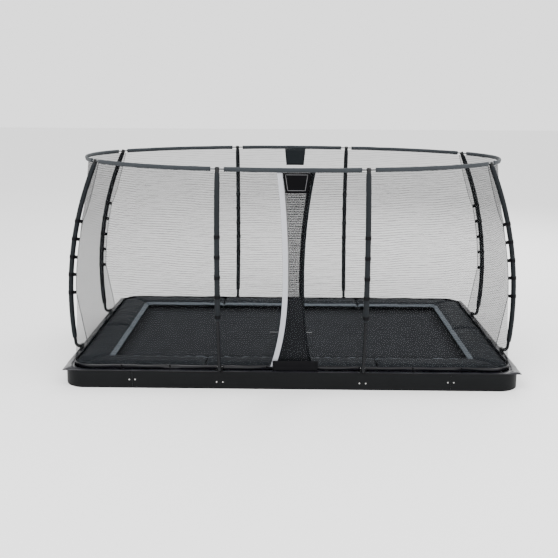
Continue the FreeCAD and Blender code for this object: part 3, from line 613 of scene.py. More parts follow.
class Finishes:
    """All finishes of the trampoline, made once and handed out by name."""

    KINDS = (
        Finish("wall_paint", (0.0042, 0.0045, 0.0048), 0.45, dust=0.25, grain=650.0, grain_depth=0.0002,
               specular=0.06),
        Finish("bolt_zinc", (0.50, 0.50, 0.49), 0.28, metallic=1.0, dust=0.15, dusting=0.7, variation=0.1),
        Finish("galvanised", (0.24, 0.25, 0.26), 0.42, metallic=1.0, dust=0.3, dusting=0.7, grain=90.0),
        Finish("spring_wire", (0.40, 0.41, 0.42), 0.3, metallic=1.0, dust=0.15, dusting=0.7),
        # The mat's weave, with painted shade along its edges.
        Finish("mat_weave", (0.0170, 0.0184, 0.0206), 0.7, weave_mm=3.0, dust=0.3, weave_depth=0.0001,
               specular=0.012, worn=1.0),
        Finish("mat_webbing", (0.0022, 0.0025, 0.0030), 0.7, weave_mm=5.0, dust=0.3, weave_depth=0.0003,
               specular=0.012),
        Finish("mat_print", (0.16, 0.162, 0.168), 0.6, weave_mm=3.0, dust=0.2, specular=0.05),
        Finish("pad_vinyl", (0.0118, 0.0134, 0.0156), 0.46, dust=0.4, grain=520.0, grain_depth=0.0004,
               specular=0.018),
        Finish("pad_stripe", (0.072, 0.083, 0.094), 0.5, dust=0.3, grain=520.0, grain_depth=0.0004,
               dusting=1.4, specular=0.03),
        Finish("pad_seam", (0.0006, 0.0007, 0.0008), 0.7, dust=0.05, grain=520.0, specular=0.01),
        Finish("cover_sheet", (0.007, 0.007, 0.009), 0.16, dust=0.25, grain=300.0, coat=0.28, specular=0.12),
        Finish("webbing", (0.0030, 0.0030, 0.0036), 0.6, weave_mm=4.0, dust=0.2, weave_depth=0.0003,
               specular=0.06),
        Finish("hem_vinyl", (0.0024, 0.0024, 0.0036), 0.18, dust=0.15, grain=300.0, coat=0.30, specular=0.12),
        Finish("pole_paint", (0.004, 0.0044, 0.0052), 0.24, dust=0.12, grain=700.0, grain_depth=0.0001,
               coat=0.10, specular=0.08),
        Finish("foam_cover", (0.0075, 0.0088, 0.0102), 0.5, dust=0.3, grain=480.0, grain_depth=0.0005,
               specular=0.08),
        Finish("cap_plastic", (0.005, 0.0055, 0.006), 0.4, dust=0.15, specular=0.2),
        Finish("bright_rod", (0.07, 0.073, 0.076), 0.2, metallic=1.0, dust=0.2, dusting=0.5),
        Finish("ring_fabric", (0.020, 0.023, 0.026), 0.6, weave_mm=3.0, dust=0.25, sheen=0.05, specular=0.08),
        Finish("edge_light", (0.34, 0.345, 0.375), 0.55, weave_mm=2.5, dust=0.1, variation=0.05, dusting=0.8),
        Finish("edge_dark", (0.0065, 0.008, 0.0092), 0.6, weave_mm=2.5, dust=0.2, specular=0.06),
        Finish("badge_fabric", (0.0018, 0.0018, 0.0022), 0.5, weave_mm=2.0, dust=0.1, specular=0.03,
               weave_depth=0.0001),
        Finish("kick_fabric", (0.0135, 0.0146, 0.0165), 0.6, weave_mm=2.5, dust=0.2, specular=0.04),
        Finish("piping", (0.10, 0.10, 0.105), 0.5, dust=0.1, dusting=0.8),
        NetFinish("net"),
        NetFinish("net_end", cover=0.48),
        NetFinish("net_flap", cover=0.30),
        NetFinish("net_doubled", cover=0.52),
    )

    def __init__(self, effects: Effects) -> None:
        """Builds every material."""
        self.made = {kind.name: kind.material(effects) for kind in self.KINDS}

    def __getitem__(self, name: str) -> bpy.types.Material:
        """The material of a name."""
        return self.made[name]

    def all(self, *names: str) -> list[bpy.types.Material]:
        """Several materials in order."""
        return [self.made[name] for name in names]


# ---------------------------------------------------------------- layout


@dataclass(frozen=True)
class PolePlace:
    """One net pole: its name, its point on the frame's outside face and the way it faces."""

    name: str
    x: float
    y: float
    side: Side


@dataclass
class Layout:
    """The shapes that the net, the poles and the ring share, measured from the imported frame."""

    mid_pole_x: float = 0.805
    end_pole_y: float = 0.755
    bend_radius: float = 4.2
    foot_reach: float = 0.046
    foot_z: float = 0.27
    pole_top: float = 2.485
    foam_radius: float = 0.03
    tie_reach: float = 0.063
    top_clear: float = 0.038
    strap_levels: tuple[float, ...] = (0.902, 1.127, 1.344, 1.566, 1.784)
    hem_corner: float = 0.2
    ring_a: float = 2.59
    ring_b: float = 1.70
    poles: list[PolePlace] = field(default_factory=list)

    def __post_init__(self) -> None:
        """Reads the frame's own boxes and works the rest out."""
        self.half_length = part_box("wall_right")[1].x
        self.half_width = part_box("wall_back")[1].y
        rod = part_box("ring_rods")
        self.ring_z = (rod[1].z + rod[0].z) / 2
        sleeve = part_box("ring_sleeves")
        self.sleeve_low, self.sleeve_high = sleeve[0].z, sleeve[1].z
        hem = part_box("net_hem")
        self.hem_x, self.hem_y = hem[1].x - 0.002, hem[1].y - 0.002
        self.hem_low, self.hem_high = hem[0].z, hem[1].z
        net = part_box("net_back")
        self.net_low, self.net_high = net[0].z, net[1].z
        m, e, w, h = self.mid_pole_x, self.end_pole_y, self.half_width, self.half_length
        self.poles = [
            PolePlace("front_left", -m, -w, Side.FRONT),
            PolePlace("front_right", m, -w, Side.FRONT),
            PolePlace("right_front", h, -e, Side.RIGHT),
            PolePlace("right_back", h, e, Side.RIGHT),
            PolePlace("back_right", m, w, Side.BACK),
            PolePlace("back_left", -m, w, Side.BACK),
            PolePlace("left_back", -h, e, Side.LEFT),
            PolePlace("left_front", -h, -e, Side.LEFT),
        ]
        self.centres = {}
        for side, top in ((Side.FRONT, self.ring_b * math.sqrt(1 - (m / self.ring_a) ** 2) - w),
                          (Side.RIGHT, self.ring_a * math.sqrt(1 - (e / self.ring_b) ** 2) - h)):
            dx, dz = top - self.foot_reach, self.pole_top - self.foot_z
            chord = math.hypot(dx, dz)
            back = math.sqrt(self.bend_radius ** 2 - (chord / 2) ** 2)
            centre = ((self.foot_reach + top) / 2 - back * dz / chord,
                      (self.foot_z + self.pole_top) / 2 + back * dx / chord)
            self.centres[side] = centre
            self.centres[Side.BACK if side is Side.FRONT else Side.LEFT] = centre
        tops = [self.pole_point(pole, self.pole_top) for pole in self.poles]
        self.angles = [math.atan2(top.y / self.ring_b, top.x / self.ring_a) % TAU for top in tops]

    def reach(self, pole: PolePlace, z: float) -> float:
        """How far out from the wall a pole's centre line is at a height."""
        across, level = self.centres[pole.side]
        return across + math.sqrt(self.bend_radius ** 2 - (z - level) ** 2)

    def local(self, pole: PolePlace, along: float, out: float, z: float) -> Vector:
        """A point from distances along the wall, out from its face and up."""
        ox, oy = pole.side.value
        return Vector((pole.x - oy * along + ox * out, pole.y + ox * along + oy * out, z))

    def pole_point(self, pole: PolePlace, z: float) -> Vector:
        """A pole's centre line at a height."""
        return self.local(pole, 0.0, self.reach(pole, z), z)

    def ring_point(self, angle: float) -> Vector:
        """A point on the oval that the top ring's rods are bent to."""
        return Vector((self.ring_a * math.cos(angle), self.ring_b * math.sin(angle), self.ring_z))

    def rod_point(self, bay: int, t: float) -> Vector:
        """A point of a bay's rod, which is one round bend through the oval's start, middle and end.

        Args:
            bay: number of the bay.
            t: 0 at its first pole, 1 at its last.

        Returns:
            The point on the rod's centre line.
        """
        first, last = self.bay_angles(bay)
        a, b, c = (self.ring_point(mix(first, last, s)) for s in (0.0, 0.5, 1.0))
        d = 2 * (a.x * (b.y - c.y) + b.x * (c.y - a.y) + c.x * (a.y - b.y))
        squares = [p.x ** 2 + p.y ** 2 for p in (a, b, c)]
        ux = (squares[0] * (b.y - c.y) + squares[1] * (c.y - a.y) + squares[2] * (a.y - b.y)) / d
        uy = (squares[0] * (c.x - b.x) + squares[1] * (a.x - c.x) + squares[2] * (b.x - a.x)) / d
        start = math.atan2(a.y - uy, a.x - ux)
        sweep = (math.atan2(c.y - uy, c.x - ux) - start) % TAU
        radius = math.hypot(a.x - ux, a.y - uy)
        turn = start + sweep * t
        return Vector((ux + radius * math.cos(turn), uy + radius * math.sin(turn), self.ring_z))

    def bay_angles(self, bay: int) -> tuple[float, float]:
        """The ring angles at which a bay starts and ends."""
        first, last = self.angles[bay], self.angles[(bay + 1) % 8]
        return first, last + TAU if last < first else last

    def hem_point(self, side_x: int, side_y: int, share: float) -> tuple[float, float]:
        """A point of the hem's rounded corner, from the long side's pole to the short side's.

        Args:
            side_x: 1 to the right, -1 to the left.
            side_y: 1 at the back, -1 at the front.
            share: 0 at the long side's pole, 1 at the short side's.

        Returns:
            Its X and Y.
        """
        x, y, r = self.hem_x, self.hem_y, self.hem_corner
        first, arc, last = x - r - self.mid_pole_x, r * math.pi / 2, y - r - self.end_pole_y
        length = share * (first + arc + last)
        if length < first:
            px, py = self.mid_pole_x + length, y
        elif length < first + arc:
            turn = (length - first) / r
            px, py = x - r + r * math.sin(turn), y - r + r * math.cos(turn)
        else:
            px, py = x, y - r - (length - first - arc)
        return side_x * px, side_y * py

    def tied_point(self, pole: PolePlace, z: float) -> Vector:
        """Where the net passes a pole: tied in the middle, free at the hem and under the ring.

        Args:
            pole: the pole.
            z: the height.

        Returns:
            The point of the net.
        """
        low, high = self.strap_levels[0], self.strap_levels[-1]
        on_long = pole.side.value[0] == 0
        hem_reach = self.hem_y - self.half_width if on_long else self.hem_x - self.half_length
        if z < low:
            share = (z - self.net_low) / (low - self.net_low)
            reach = mix(hem_reach, self.reach(pole, low) - self.tie_reach, share)
        elif z > high:
            share = max((z - high) / (self.net_high - high), 0.0) ** 0.8
            reach = mix(self.reach(pole, high) - self.tie_reach,
                        self.reach(pole, self.pole_top) - self.top_clear, share)
        else:
            reach = self.reach(pole, z) - self.tie_reach
        return self.local(pole, 0.0, reach, z)

    def net_point(self, bay: int, t: float, z: float) -> Vector:
        """A point of the net's surface in a bay, t from one pole to the next.

        Args:
            bay: number of the bay.
            t: 0 at its first pole, 1 at its last.
            z: the height.

        Returns:
            The point.
        """
        a, b = self.poles[bay], self.poles[(bay + 1) % 8]
        first, last = self.bay_angles(bay)
        top = self.rod_point(bay, t)
        foot_a, foot_b = self.tied_point(a, self.net_low), self.tied_point(b, self.net_low)
        if a.side is b.side:
            low = foot_a.lerp(foot_b, t)
        else:
            side_x, side_y = (1 if a.x + b.x > 0 else -1), (1 if a.y + b.y > 0 else -1)
            x, y = self.hem_point(side_x, side_y, t if a.side.value[0] == 0 else 1 - t)
            low = Vector((x, y, 0))
        up = (z - self.net_low) / (self.net_high - self.net_low)
        point = low.lerp(top, up)
        pull_a = self.tied_point(a, z) - foot_a.lerp(self.ring_point(first), up)
        pull_b = self.tied_point(b, z) - foot_b.lerp(self.ring_point(last), up)
        point = point + pull_a * (1 - t) ** 1.5 + pull_b * t ** 1.5
        point.z = z
        return point


# ---------------------------------------------------------------- carried nodes


class Metalwork:
    """The frame's own metal nodes, which keep their shape and get their finishes."""

    DRESS = {
        "wall_paint": ("wall_front", "wall_back", "wall_left", "wall_right", "wall_corner_front_left",
                       "wall_corner_front_right", "wall_corner_back_left", "wall_corner_back_right",
                       "pole_saddles"),
        "bolt_zinc": ("wall_bolts", "saddle_screws"),
        "galvanised": ("wall_joiner_plates", "rail_struts", "spring_rail_front", "spring_rail_back",
                       "spring_rail_left", "spring_rail_right", "pole_bracket_plates"),
        "pole_paint": ("pole_lower_tubes", "pole_upper_tubes"),
        "cap_plastic": ("pole_caps", "ring_clamps"),
        "bright_rod": ("ring_rods",),
    }

    def dress(self, finishes: Finishes) -> None:
        """Gives every carried node its finish.

        Args:
            finishes: the materials by name.
        """
        for name, nodes in self.DRESS.items():
            for node in nodes:
                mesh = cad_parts[node].data
                mesh.materials.clear()
                mesh.materials.append(finishes[name])
            LOG.info("%s on %d carried nodes", name, len(nodes))


# ---------------------------------------------------------------- poles and ring


@dataclass
class PoleCovers:
    """The foam sleeves of the poles and the straps round them."""

    layout: Layout
    finishes: Finishes
    sides: int = 20
    step: float = 0.03
    strap_half: float = 0.0195
    strap_thick: float = 0.0022
    strap_clear: float = 0.0015
    loop_sides: int = 28
    loop_pitch: float = 0.007
    tab_cloth: float = 0.05
    tab_spread: float = 0.013
    tab_thick: float = 0.0018
    tab_steps: int = 6
    knot_radius: float = 0.0075
    knot_half: float = 0.016

    def sleeve(self, pole: PolePlace) -> bpy.types.Object:
        """Makes one foam sleeve: a soft tube with a sewn seam, nipped where straps hold it.

        Args:
            pole: the pole that it covers.

        Returns:
            The sleeve.
        """
        node = "foam_" + pole.name
        low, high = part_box(node)[0].z + 0.002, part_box(node)[1].z - 0.002
        count = int((high - low) / self.step)
        path, radii = [], []
        for i in range(count + 1):
            z = mix(low, high, i / count)
            path.append(self.layout.pole_point(pole, z))
            nip = sum(math.exp(-((z - s) / 0.016) ** 2) for s in self.layout.strap_levels)
            end = min(i, count - i) / 2.0
            round_end = 1.0 - 0.12 * math.exp(-end * 1.5)
            crease = 0.02 * ripple(pole.x * 3.1, pole.y * 2.7, z * 9.0)
            radii.append(self.layout.foam_radius * (round_end + crease - 0.05 * nip))
        surface = Surface()
        seam = [(math.cos(TAU * k / self.sides) * (0.94 if k == 0 else 1.0),
                 math.sin(TAU * k / self.sides)) for k in range(self.sides)]
        surface.tube(path, radii, section=seam, up=Vector((*pole.side.value, 0)))
        piece = surface.build("sleeve_" + pole.name, self.finishes.all("foam_cover"))
        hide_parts(node)
        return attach(piece, FRAME_BODY)

    def strap(self, surface: Surface, pole: PolePlace, z: float) -> None:
        """Adds one strap: a loop round the sleeve, a folded tab and its stitched end.

        Args:
            surface: the mesh that the strap is added to.
            pole: the pole that it goes round.
            z: its height.
        """
        out = Vector((*pole.side.value, 0))
        middle = self.layout.pole_point(pole, z)
        ahead = (self.layout.pole_point(pole, z + 0.01) - self.layout.pole_point(pole, z - 0.01)).normalized()
        side = Vector((-out.y, out.x, 0))
        inward = side.cross(ahead).normalized()
        if inward.dot(out) > 0:
            inward = -inward
        radius = self.layout.foam_radius + self.strap_clear
        half, sides = self.strap_half, self.loop_sides
        turns = [TAU * k / sides for k in range(sides)]
        loop = [middle + (side * math.sin(turn) + inward * math.cos(turn)) * radius for turn in turns]
        inner = [[p + ahead * h for p in loop] for h in (-half, half)]
        outer = [[p + (p - middle).normalized() * self.strap_thick + ahead * h for p in loop]
                 for h in (-half, 0.0, half)]
        surface.grid(outer, 0, [[(k * self.loop_pitch, h) for k in range(sides)] for h in (-half, 0, half)],
                     round_rows=True)
        surface.grid([inner[0], outer[0]], 0, round_rows=True)
        surface.grid([outer[2], inner[1]], 0, round_rows=True)
        start, end = radius - 0.002, self.layout.tie_reach - 0.004
        for fold in (-1, 1):
            rows, places = [], []
            for i in range(self.tab_steps + 1):
                t = i / self.tab_steps
                spread = self.tab_spread * (1 - 0.6 * smooth(t)) * fold
                base = middle + inward * mix(start, end, t) + side * spread
                rows.append([base + ahead * h for h in (-half, half)])
                places.append([(t * self.tab_cloth, h) for h in (-half, half)])
            under = [[p - side * fold * self.tab_thick for p in row] for row in rows]
            surface.slab(rows, under, 0, places)
        knot = middle + inward * (end - 0.006)
        knot_ends = [knot - ahead * self.knot_half, knot + ahead * self.knot_half]
        surface.tube(knot_ends, self.knot_radius, 10, up=side)

    def straps(self) -> bpy.types.Object:
        """Makes the forty straps as one piece.

        Returns:
            The straps.
        """
        surface = Surface()
        for pole in self.layout.poles:
            for z in self.layout.strap_levels:
                self.strap(surface, pole, z)
        piece = surface.build("net_tie_straps", self.finishes.all("webbing"))
        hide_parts("net_straps")
        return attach(piece, FRAME_BODY)

    def build(self) -> None:
        """Makes every sleeve and strap."""
        for pole in self.layout.poles:
            LOG.info("made %s", self.sleeve(pole).name)
        LOG.info("made %s", self.straps().name)


@dataclass
class RingCovers:
    """The fabric sleeves that carry the net on the ring's rods."""

    layout: Layout
    finishes: Finishes
    bare: float = 0.075
    half_thick: float = 0.011
    step: float = 0.045

    def sleeve(self, bay: int) -> bpy.types.Object:
        """Makes one sleeve: a flat loop of fabric that is fuller where the rod runs in it.

        Args:
            bay: number of the bay that it spans.

        Returns:
            The sleeve.
        """
        first, last = self.layout.poles[bay], self.layout.poles[(bay + 1) % 8]
        stops = [self.layout.rod_point(bay, k / 12) for k in range(13)]
        length = sum((b - a).length for a, b in zip(stops, stops[1:]))
        trim = self.bare / length
        count = max(int(length / self.step), 8)
        low = self.layout.sleeve_low - self.layout.ring_z
        high = self.layout.sleeve_high - self.layout.ring_z
        right = [(0.0035, low), (0.006, low * 0.55), (self.half_thick, low * 0.2),
                 (self.half_thick, high * 0.35), (0.007, high * 0.75)]
        left = [(-a, b) for a, b in reversed(right)]
        outline = [left[-1], *right, (0.0, high * 0.9), *left[:-1]]
        surface = Surface()
        path, sizes = [], []
        for i in range(count + 1):
            point = self.layout.rod_point(bay, mix(trim, 1 - trim, i / count))
            point.z += 0.0015 * ripple(point.x * 5, point.y * 5, 1.0)
            path.append(point)
            sizes.append(1.0 + 0.05 * ripple(point.x * 9, point.y * 9, 7.0))
        surface.tube(path, sizes, section=outline)
        piece = surface.build(f"ring_sleeve_{first.name}_to_{last.name}", self.finishes.all("ring_fabric"))
        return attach(piece, FRAME_BODY)

    def build(self) -> None:
        """Makes the eight sleeves."""
        for bay in range(8):
            piece = self.sleeve(bay)
            if bay == 0:
                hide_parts("ring_sleeves")
            LOG.info("made %s", piece.name)


# ---------------------------------------------------------------- pads, cover sheet and hem


@dataclass
class Padding:
    """The pads over the springs, with their light strip, seams and soft top."""

    layout: Layout
    finishes: Finishes
    seam_x: float = 0.98
    strip: float = 0.058
    crown: float = 0.012
    seam_half: float = 0.0035
    step: float = 0.024
    shoulder: float = 0.045
    pinch_width: float = 0.022
    pressure: float = 5.0
    spare_cloth: float = 0.035
    furthest_puff: float = 0.016

    SHARES = (0, 0.012, 0.03, 0.06, 0.10, 0.15, 0.20, 0.26, 0.32, 0.38, 0.44, 0.5, 0.56, 0.62, 0.68, 0.74)

    def __post_init__(self) -> None:
        """Reads the pads' plan from the frame."""
        front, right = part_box("pad_front"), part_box("pad_right")
        self.out_x, self.out_y = right[1].x, -front[0].y
        self.in_x, self.in_y = right[0].x, -front[1].y
        self.low, self.high = front[0].z, front[1].z

    def rounded(self, x: float, y: float) -> tuple[float, float]:
        """Moves a plan point of the pads' square outline in under their rounded corners.

        Args:
            x: its X on the square outline.
            y: its Y on the square outline.

        Returns:
            Its X and Y under the rounded corner.
        """
        radius = self.layout.hem_corner - 0.004
        dx, dy = abs(x) - (self.out_x - radius), abs(y) - (self.out_y - radius)
        if dx <= 0 or dy <= 0:
            return x, y
        share = max(dx, dy) / math.hypot(dx, dy)
        return (math.copysign(abs(x) - dx * (1 - share), x), math.copysign(abs(y) - dy * (1 - share), y))

    def height(self, across: float, width: float, along: float, length: float, place: Vector) -> float:
        """Height of a pad's top at a place.

        Args:
            across: distance in from the outer edge.
            width: the pad's width there.
            along: distance from the nearer end seam.
            length: the pad's length.
            place: where it is in plan, for the creases.

        Returns:
            The height above the pad's underside.
        """
        full = self.high - self.low
        rise = math.sqrt(max(1 - (1 - min(across / self.shoulder, 1.0)) ** 2, 0.0))
        slope = smooth((width - across) / self.strip)
        top = full * mix(0.30, 1.0, rise) * mix(0.66, 1.0, slope)
        top += self.crown * math.sin(math.pi * min(max(across / width, 0), 1)) * slope
        pinch = math.exp(-(along / self.pinch_width) ** 2)
        top *= 1 - 0.45 * pinch
        crease = 0.004 * ripple(place.x * 2.3, place.y * 5.0, 3.0)
        crease += 0.0022 * ripple(place.x * 9, place.y * 7, 9.0)
        pull = 0.006 * math.exp(-along / 0.09) * ripple(place.x * 14, place.y * 14, 5.0)
        return max(top + (crease + pull) * rise, 0.003)

    def piece(self, name: str, outer_a: Vector, outer_b: Vector, inner_a: Vector, inner_b: Vector,
              node: str) -> bpy.types.Object:
        """Makes one pad from the corners of its plan.

        Args:
            name: the pad's name.
            outer_a: start of its outer edge.
            outer_b: end of its outer edge.
            inner_a: start of its inner edge.
            inner_b: end of its inner edge.
            node: the CAD node that it stands for.

        Returns:
            The puffed pad.
        """
        length = (outer_b - outer_a).length
        width = abs((inner_a - outer_a).dot((outer_b - outer_a).normalized().cross(Vector((0, 0, 1)))))
        columns = max(int(length / self.step), 6)
        strip_share = 1 - self.strip / width
        shares = [s for s in self.SHARES if s < strip_share - 0.03]
        shares += [strip_share - 0.006, strip_share + 0.004]
        shares += [mix(strip_share, 1.0, k / 4) for k in (1, 2, 3)] + [1.0]
        ends = [0, 0.004, 0.012, 0.022] if length > 0.3 else [0]
        along_places = sorted(set([e / length for e in ends] + [1 - e / length for e in ends]
                                  + [k / columns for k in range(1, columns)]))
        top, bottom, places = [], [], []
        for share in shares:
            start, end = outer_a.lerp(inner_a, share), outer_b.lerp(inner_b, share)
            row, under, at = [], [], []
            for u in along_places:
                spot = start.lerp(end, u)
                gap = min(u, 1 - u) * (end - start).length
                across = share * width
                height = self.height(across, width, gap, length, spot)
                row.append(Vector((*self.rounded(spot.x, spot.y), self.low + height)))
                under.append(Vector((*self.rounded(spot.x, spot.y), self.low)))
                at.append((u * length, across))
            top.append(row)
            bottom.append(under)
            places.append(at)
        first_strip = len(shares) - 6
        surface = Surface()
        wide, count = len(along_places), len(shares) * len(along_places)
        surface.slab(top, bottom, lambda i, j: 2 if j in (0, wide - 2) else int(i > first_strip), places)
        made = surface.build(name, self.finishes.all("pad_vinyl", "pad_stripe", "pad_seam"))
        strip_line = (first_strip + 1) * wide
        sewn = set(range(wide)) | set(range(count - wide, 2 * count))
        sewn |= set(range(strip_line, strip_line + wide))
        sewn |= {i * wide + j for i in range(len(shares)) for j in (0, wide - 1)}
        puffed(made, sorted(sewn), self.pressure, self.spare_cloth, self.furthest_puff)
        round_off = made.modifiers.new("round", "SUBSURF")
        round_off.levels = round_off.render_levels = 1
        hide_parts(node)
        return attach(made, FRAME_BODY)

    def build(self) -> None:
        """Makes the ten pads, mitred at the corners."""
        g, s = self.seam_half, self.seam_x
        ox, oy, ix, iy = self.out_x, self.out_y, self.in_x, self.in_y
        for sign, node in ((-1, "pad_front"), (1, "pad_back")):
            spans = (("left", -ox + g, -s - g, -ix + g, -s - g), ("middle", -s + g, s - g, -s + g, s - g),
                     ("right", s + g, ox - g, s + g, ix - g))
            for label, a, b, c, d in spans:
                corners = [Vector((a, sign * oy, 0)), Vector((b, sign * oy, 0)), Vector((c, sign * iy, 0)),
                           Vector((d, sign * iy, 0))]
                if sign > 0:
                    corners = [corners[1], corners[0], corners[3], corners[2]]
                LOG.info("made %s", self.piece(f"{node}_{label}", *corners, node).name)
        for sign, node in ((1, "pad_right"), (-1, "pad_left")):
            for label, a, b, c, d in (("front", -oy + g, -g, -iy + g, -g), ("back", g, oy - g, g, iy - g)):
                corners = [Vector((sign * ox, a, 0)), Vector((sign * ox, b, 0)), Vector((sign * ix, c, 0)),
                           Vector((sign * ix, d, 0))]
                if sign < 0:
                    corners = [corners[1], corners[0], corners[3], corners[2]]
                LOG.info("made %s", self.piece(f"{node}_{label}", *corners, node).name)


@dataclass
class EdgeCover:
    """The glossy cover sheet on the frame's top, the net's hem outside the pads, and the ties."""

    layout: Layout
    finishes: Finishes
    step: float = 0.04
    corner_radius: float = 0.012
    tie_pitch: float = 0.55

    def outline(self, half_x: float, half_y: float, radius: float) -> list[Vector]:
        """Points round a rounded rectangle, evenly spaced, starting at the front's middle.

        Args:
            half_x: half of its length.
            half_y: half of its width.
            radius: its corners' radius.

        Returns:
            The points, in order.
        """
        points: list[Vector] = []
        for cx, cy, start in ((1, -1, -90), (1, 1, 0), (-1, 1, 90), (-1, -1, 180)):
            centre = Vector((cx * (half_x - radius), cy * (half_y - radius), 0))
            for k in range(9):
                turn = math.radians(start + 90 * k / 8)
                points.append(centre + Vector((math.cos(turn), math.sin(turn), 0)) * radius)
        loop = [Vector((0, -half_y, 0))] + points + [Vector((0, -half_y, 0))]
        even: list[Vector] = []
        for a, b in zip(loop, loop[1:]):
            count = max(int((b - a).length / self.step), 1)
            even += [a.lerp(b, k / count) for k in range(count)]
        return even

    def inner_edge(self, spot: Vector, half_x: float, half_y: float) -> Vector:
        """The nearest point to a spot on the cover's rounded inner edge.

        Args:
            spot: a point on the outer edge.
            half_x: half of the inner edge's length.
            half_y: half of the inner edge's width.

        Returns:
            The point on the inner edge.
        """
        radius = self.layout.hem_corner + 0.004
        dx, dy = abs(spot.x) - (half_x - radius), abs(spot.y) - (half_y - radius)
        if dx <= 0 or dy <= 0:
            return Vector((min(max(spot.x, -half_x), half_x), min(max(spot.y, -half_y), half_y), 0))
        share = radius / math.hypot(dx, dy)
        return Vector((math.copysign(half_x - radius + dx * share, spot.x),
                       math.copysign(half_y - radius + dy * share, spot.y), 0))

    def cover(self) -> bpy.types.Object:
        """Makes the cover sheet: it lies on the flange, rumpled, with pointed corners.

        Returns:
            The sheet.
        """
        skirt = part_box("frame_skirt")
        half_x, half_y, z = skirt[1].x, skirt[1].y, skirt[0].z
        inner_x, inner_y = self.layout.hem_x + 0.004, self.layout.hem_y + 0.004
        outer = self.outline(half_x, half_y, self.corner_radius)
        rows, places = [], []
        shares = (0.0, 0.2, 0.45, 0.7, 0.88, 1.0)
        for share in shares:
            row, at, run = [], [], 0.0
            for k, spot in enumerate(outer):
                near = self.inner_edge(spot, inner_x, inner_y)
                point = near.lerp(spot, share)
                bump = 0.0035 * (1 + ripple(point.x * 6, point.y * 6, 2.0)) * math.sin(math.pi * share)
                tip = Vector((math.copysign(half_x, spot.x), math.copysign(half_y, spot.y), 0))
                corner = smooth(1 - 3 * (spot - tip).length)
                fold = 1 + ripple(point.x * 11, point.y * 11, 4.0)
                bump += 0.014 * corner * fold * math.sin(math.pi * share)
                row.append(Vector((point.x, point.y, z + 0.001 + bump)))
                run += (outer[k] - outer[k - 1]).length if k else 0.0
                at.append((run, share * 0.07))
            rows.append(row)
            places.append(at)
        surface = Surface()
        surface.grid(rows, 0, places, round_rows=True)
        piece = surface.build("frame_cover_sheet", self.finishes.all("cover_sheet"), thick=0.0012)
        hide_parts("frame_skirt")
        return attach(piece, FRAME_BODY)

    def tie_places(self) -> list[tuple[Vector, Vector]]:
        """Each tie's point at the hem and its outward direction.

        Returns:
            Pairs of point and direction.
        """
        places = []
        for sign in (-1, 1):
            for i in range(8):
                x = (i - 3.5) * self.tie_pitch
                if min(abs(x - self.layout.mid_pole_x), abs(x + self.layout.mid_pole_x)) > 0.06:
                    places.append((Vector((x, sign * self.layout.hem_y, 0)), Vector((0, sign, 0))))
            for i in range(4):
                y = (i - 1.5) * self.tie_pitch * 1.3
                if min(abs(y - self.layout.end_pole_y), abs(y + self.layout.end_pole_y)) > 0.06:
                    places.append((Vector((sign * self.layout.hem_x, y, 0)), Vector((sign, 0, 0))))
        return places

    def held(self, spot: Vector) -> float:
        """How near a hem point is to a tie or pole: 1 at it, 0 halfway between ties.

        Args:
            spot: the point of the hem.

        Returns:
            The nearness, from 0 to 1.
        """
        anchors = [p for p, _ in self.tie_places()]
        hem_x, hem_y = self.layout.hem_x, self.layout.hem_y
        for pole in self.layout.poles:
            if pole.side.value[0] == 0:
                anchors.append(Vector((pole.x, math.copysign(hem_y, pole.y), 0)))
            else:
                anchors.append(Vector((math.copysign(hem_x, pole.x), pole.y, 0)))
        anchors += [Vector((sx * hem_x, sy * hem_y, 0)) for sx in (-1, 1) for sy in (-1, 1)]
        nearest = min((a - spot).length for a in anchors)
        return 1 - smooth(nearest / (self.tie_pitch * 0.5))

    def hem(self) -> bpy.types.Object:
        """Makes the hem: a glossy band that hangs in shallow scallops between its ties.

        Returns:
            The hem.
        """
        line = self.outline(self.layout.hem_x, self.layout.hem_y, self.layout.hem_corner)
        count = len(line)
        rows: list[list[Vector]] = [[], [], [], [], []]
        places: list[list[tuple[float, float]]] = [[], [], [], [], []]
        run = 0.0
        for k, spot in enumerate(line):
            ahead = (line[(k + 1) % count] - line[k - 1]).normalized()
            out = ahead.cross(Vector((0, 0, 1)))
            free = 1 - self.held(spot)
            run += (line[k] - line[k - 1]).length if k else 0.0
            for i in range(5):
                down = i / 4
                z = mix(self.layout.hem_high + 0.001, self.layout.hem_low + 0.001, down)
                belly = 0.014 * free * math.sin(math.pi * (0.15 + 0.7 * down))
                slack = 0.002 * ripple(spot.x * 7, spot.y * 7, down * 2)
                slack += 0.020 * (0.5 - down) * ripple(spot.x * 2.6, spot.y * 2.6, 6.0)
                rows[i].append(Vector((spot.x, spot.y, z)) + out * (belly + slack))
                places[i].append((run, down * 0.05))
        surface = Surface()
        surface.grid(rows, 0, places, round_rows=True)
        piece = surface.build("net_bottom_hem", self.finishes.all("hem_vinyl"), thick=0.0022)
        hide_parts("net_hem")
        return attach(piece, FRAME_BODY)

    def ties(self) -> bpy.types.Object:
        """Makes the elastic ties: a loop from the hem over the cover to the flange.

        Returns:
            The ties as one piece.
        """
        surface = Surface()
        for spot, out in self.tie_places():
            side = Vector((-out.y, out.x, 0))
            top = self.layout.hem_high - 0.01
            low = self.layout.hem_low + 0.0035
            for lean in (-0.006, 0.006):
                line = [spot + out * 0.003 + side * lean + Vector((0, 0, top)),
                        spot + out * 0.005 + side * lean * 0.8 + Vector((0, 0, mix(top, low, 0.6))),
                        spot + out * 0.012 + side * lean * 0.5 + Vector((0, 0, low + 0.003)),
                        spot + out * 0.034 + side * lean * 0.4 + Vector((0, 0, low)),
                        spot + out * 0.056 + side * lean * 0.2 + Vector((0, 0, low))]
                surface.tube(line, 0.0024, 8)
            knob = spot + out * 0.0045 + Vector((0, 0, top))
            surface.tube([knob, knob + out * 0.006], [0.010, 0.007], 14)
        piece = surface.build("elastic_ties", self.finishes.all("webbing"))
        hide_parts("pad_ties")
        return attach(piece, FRAME_BODY)

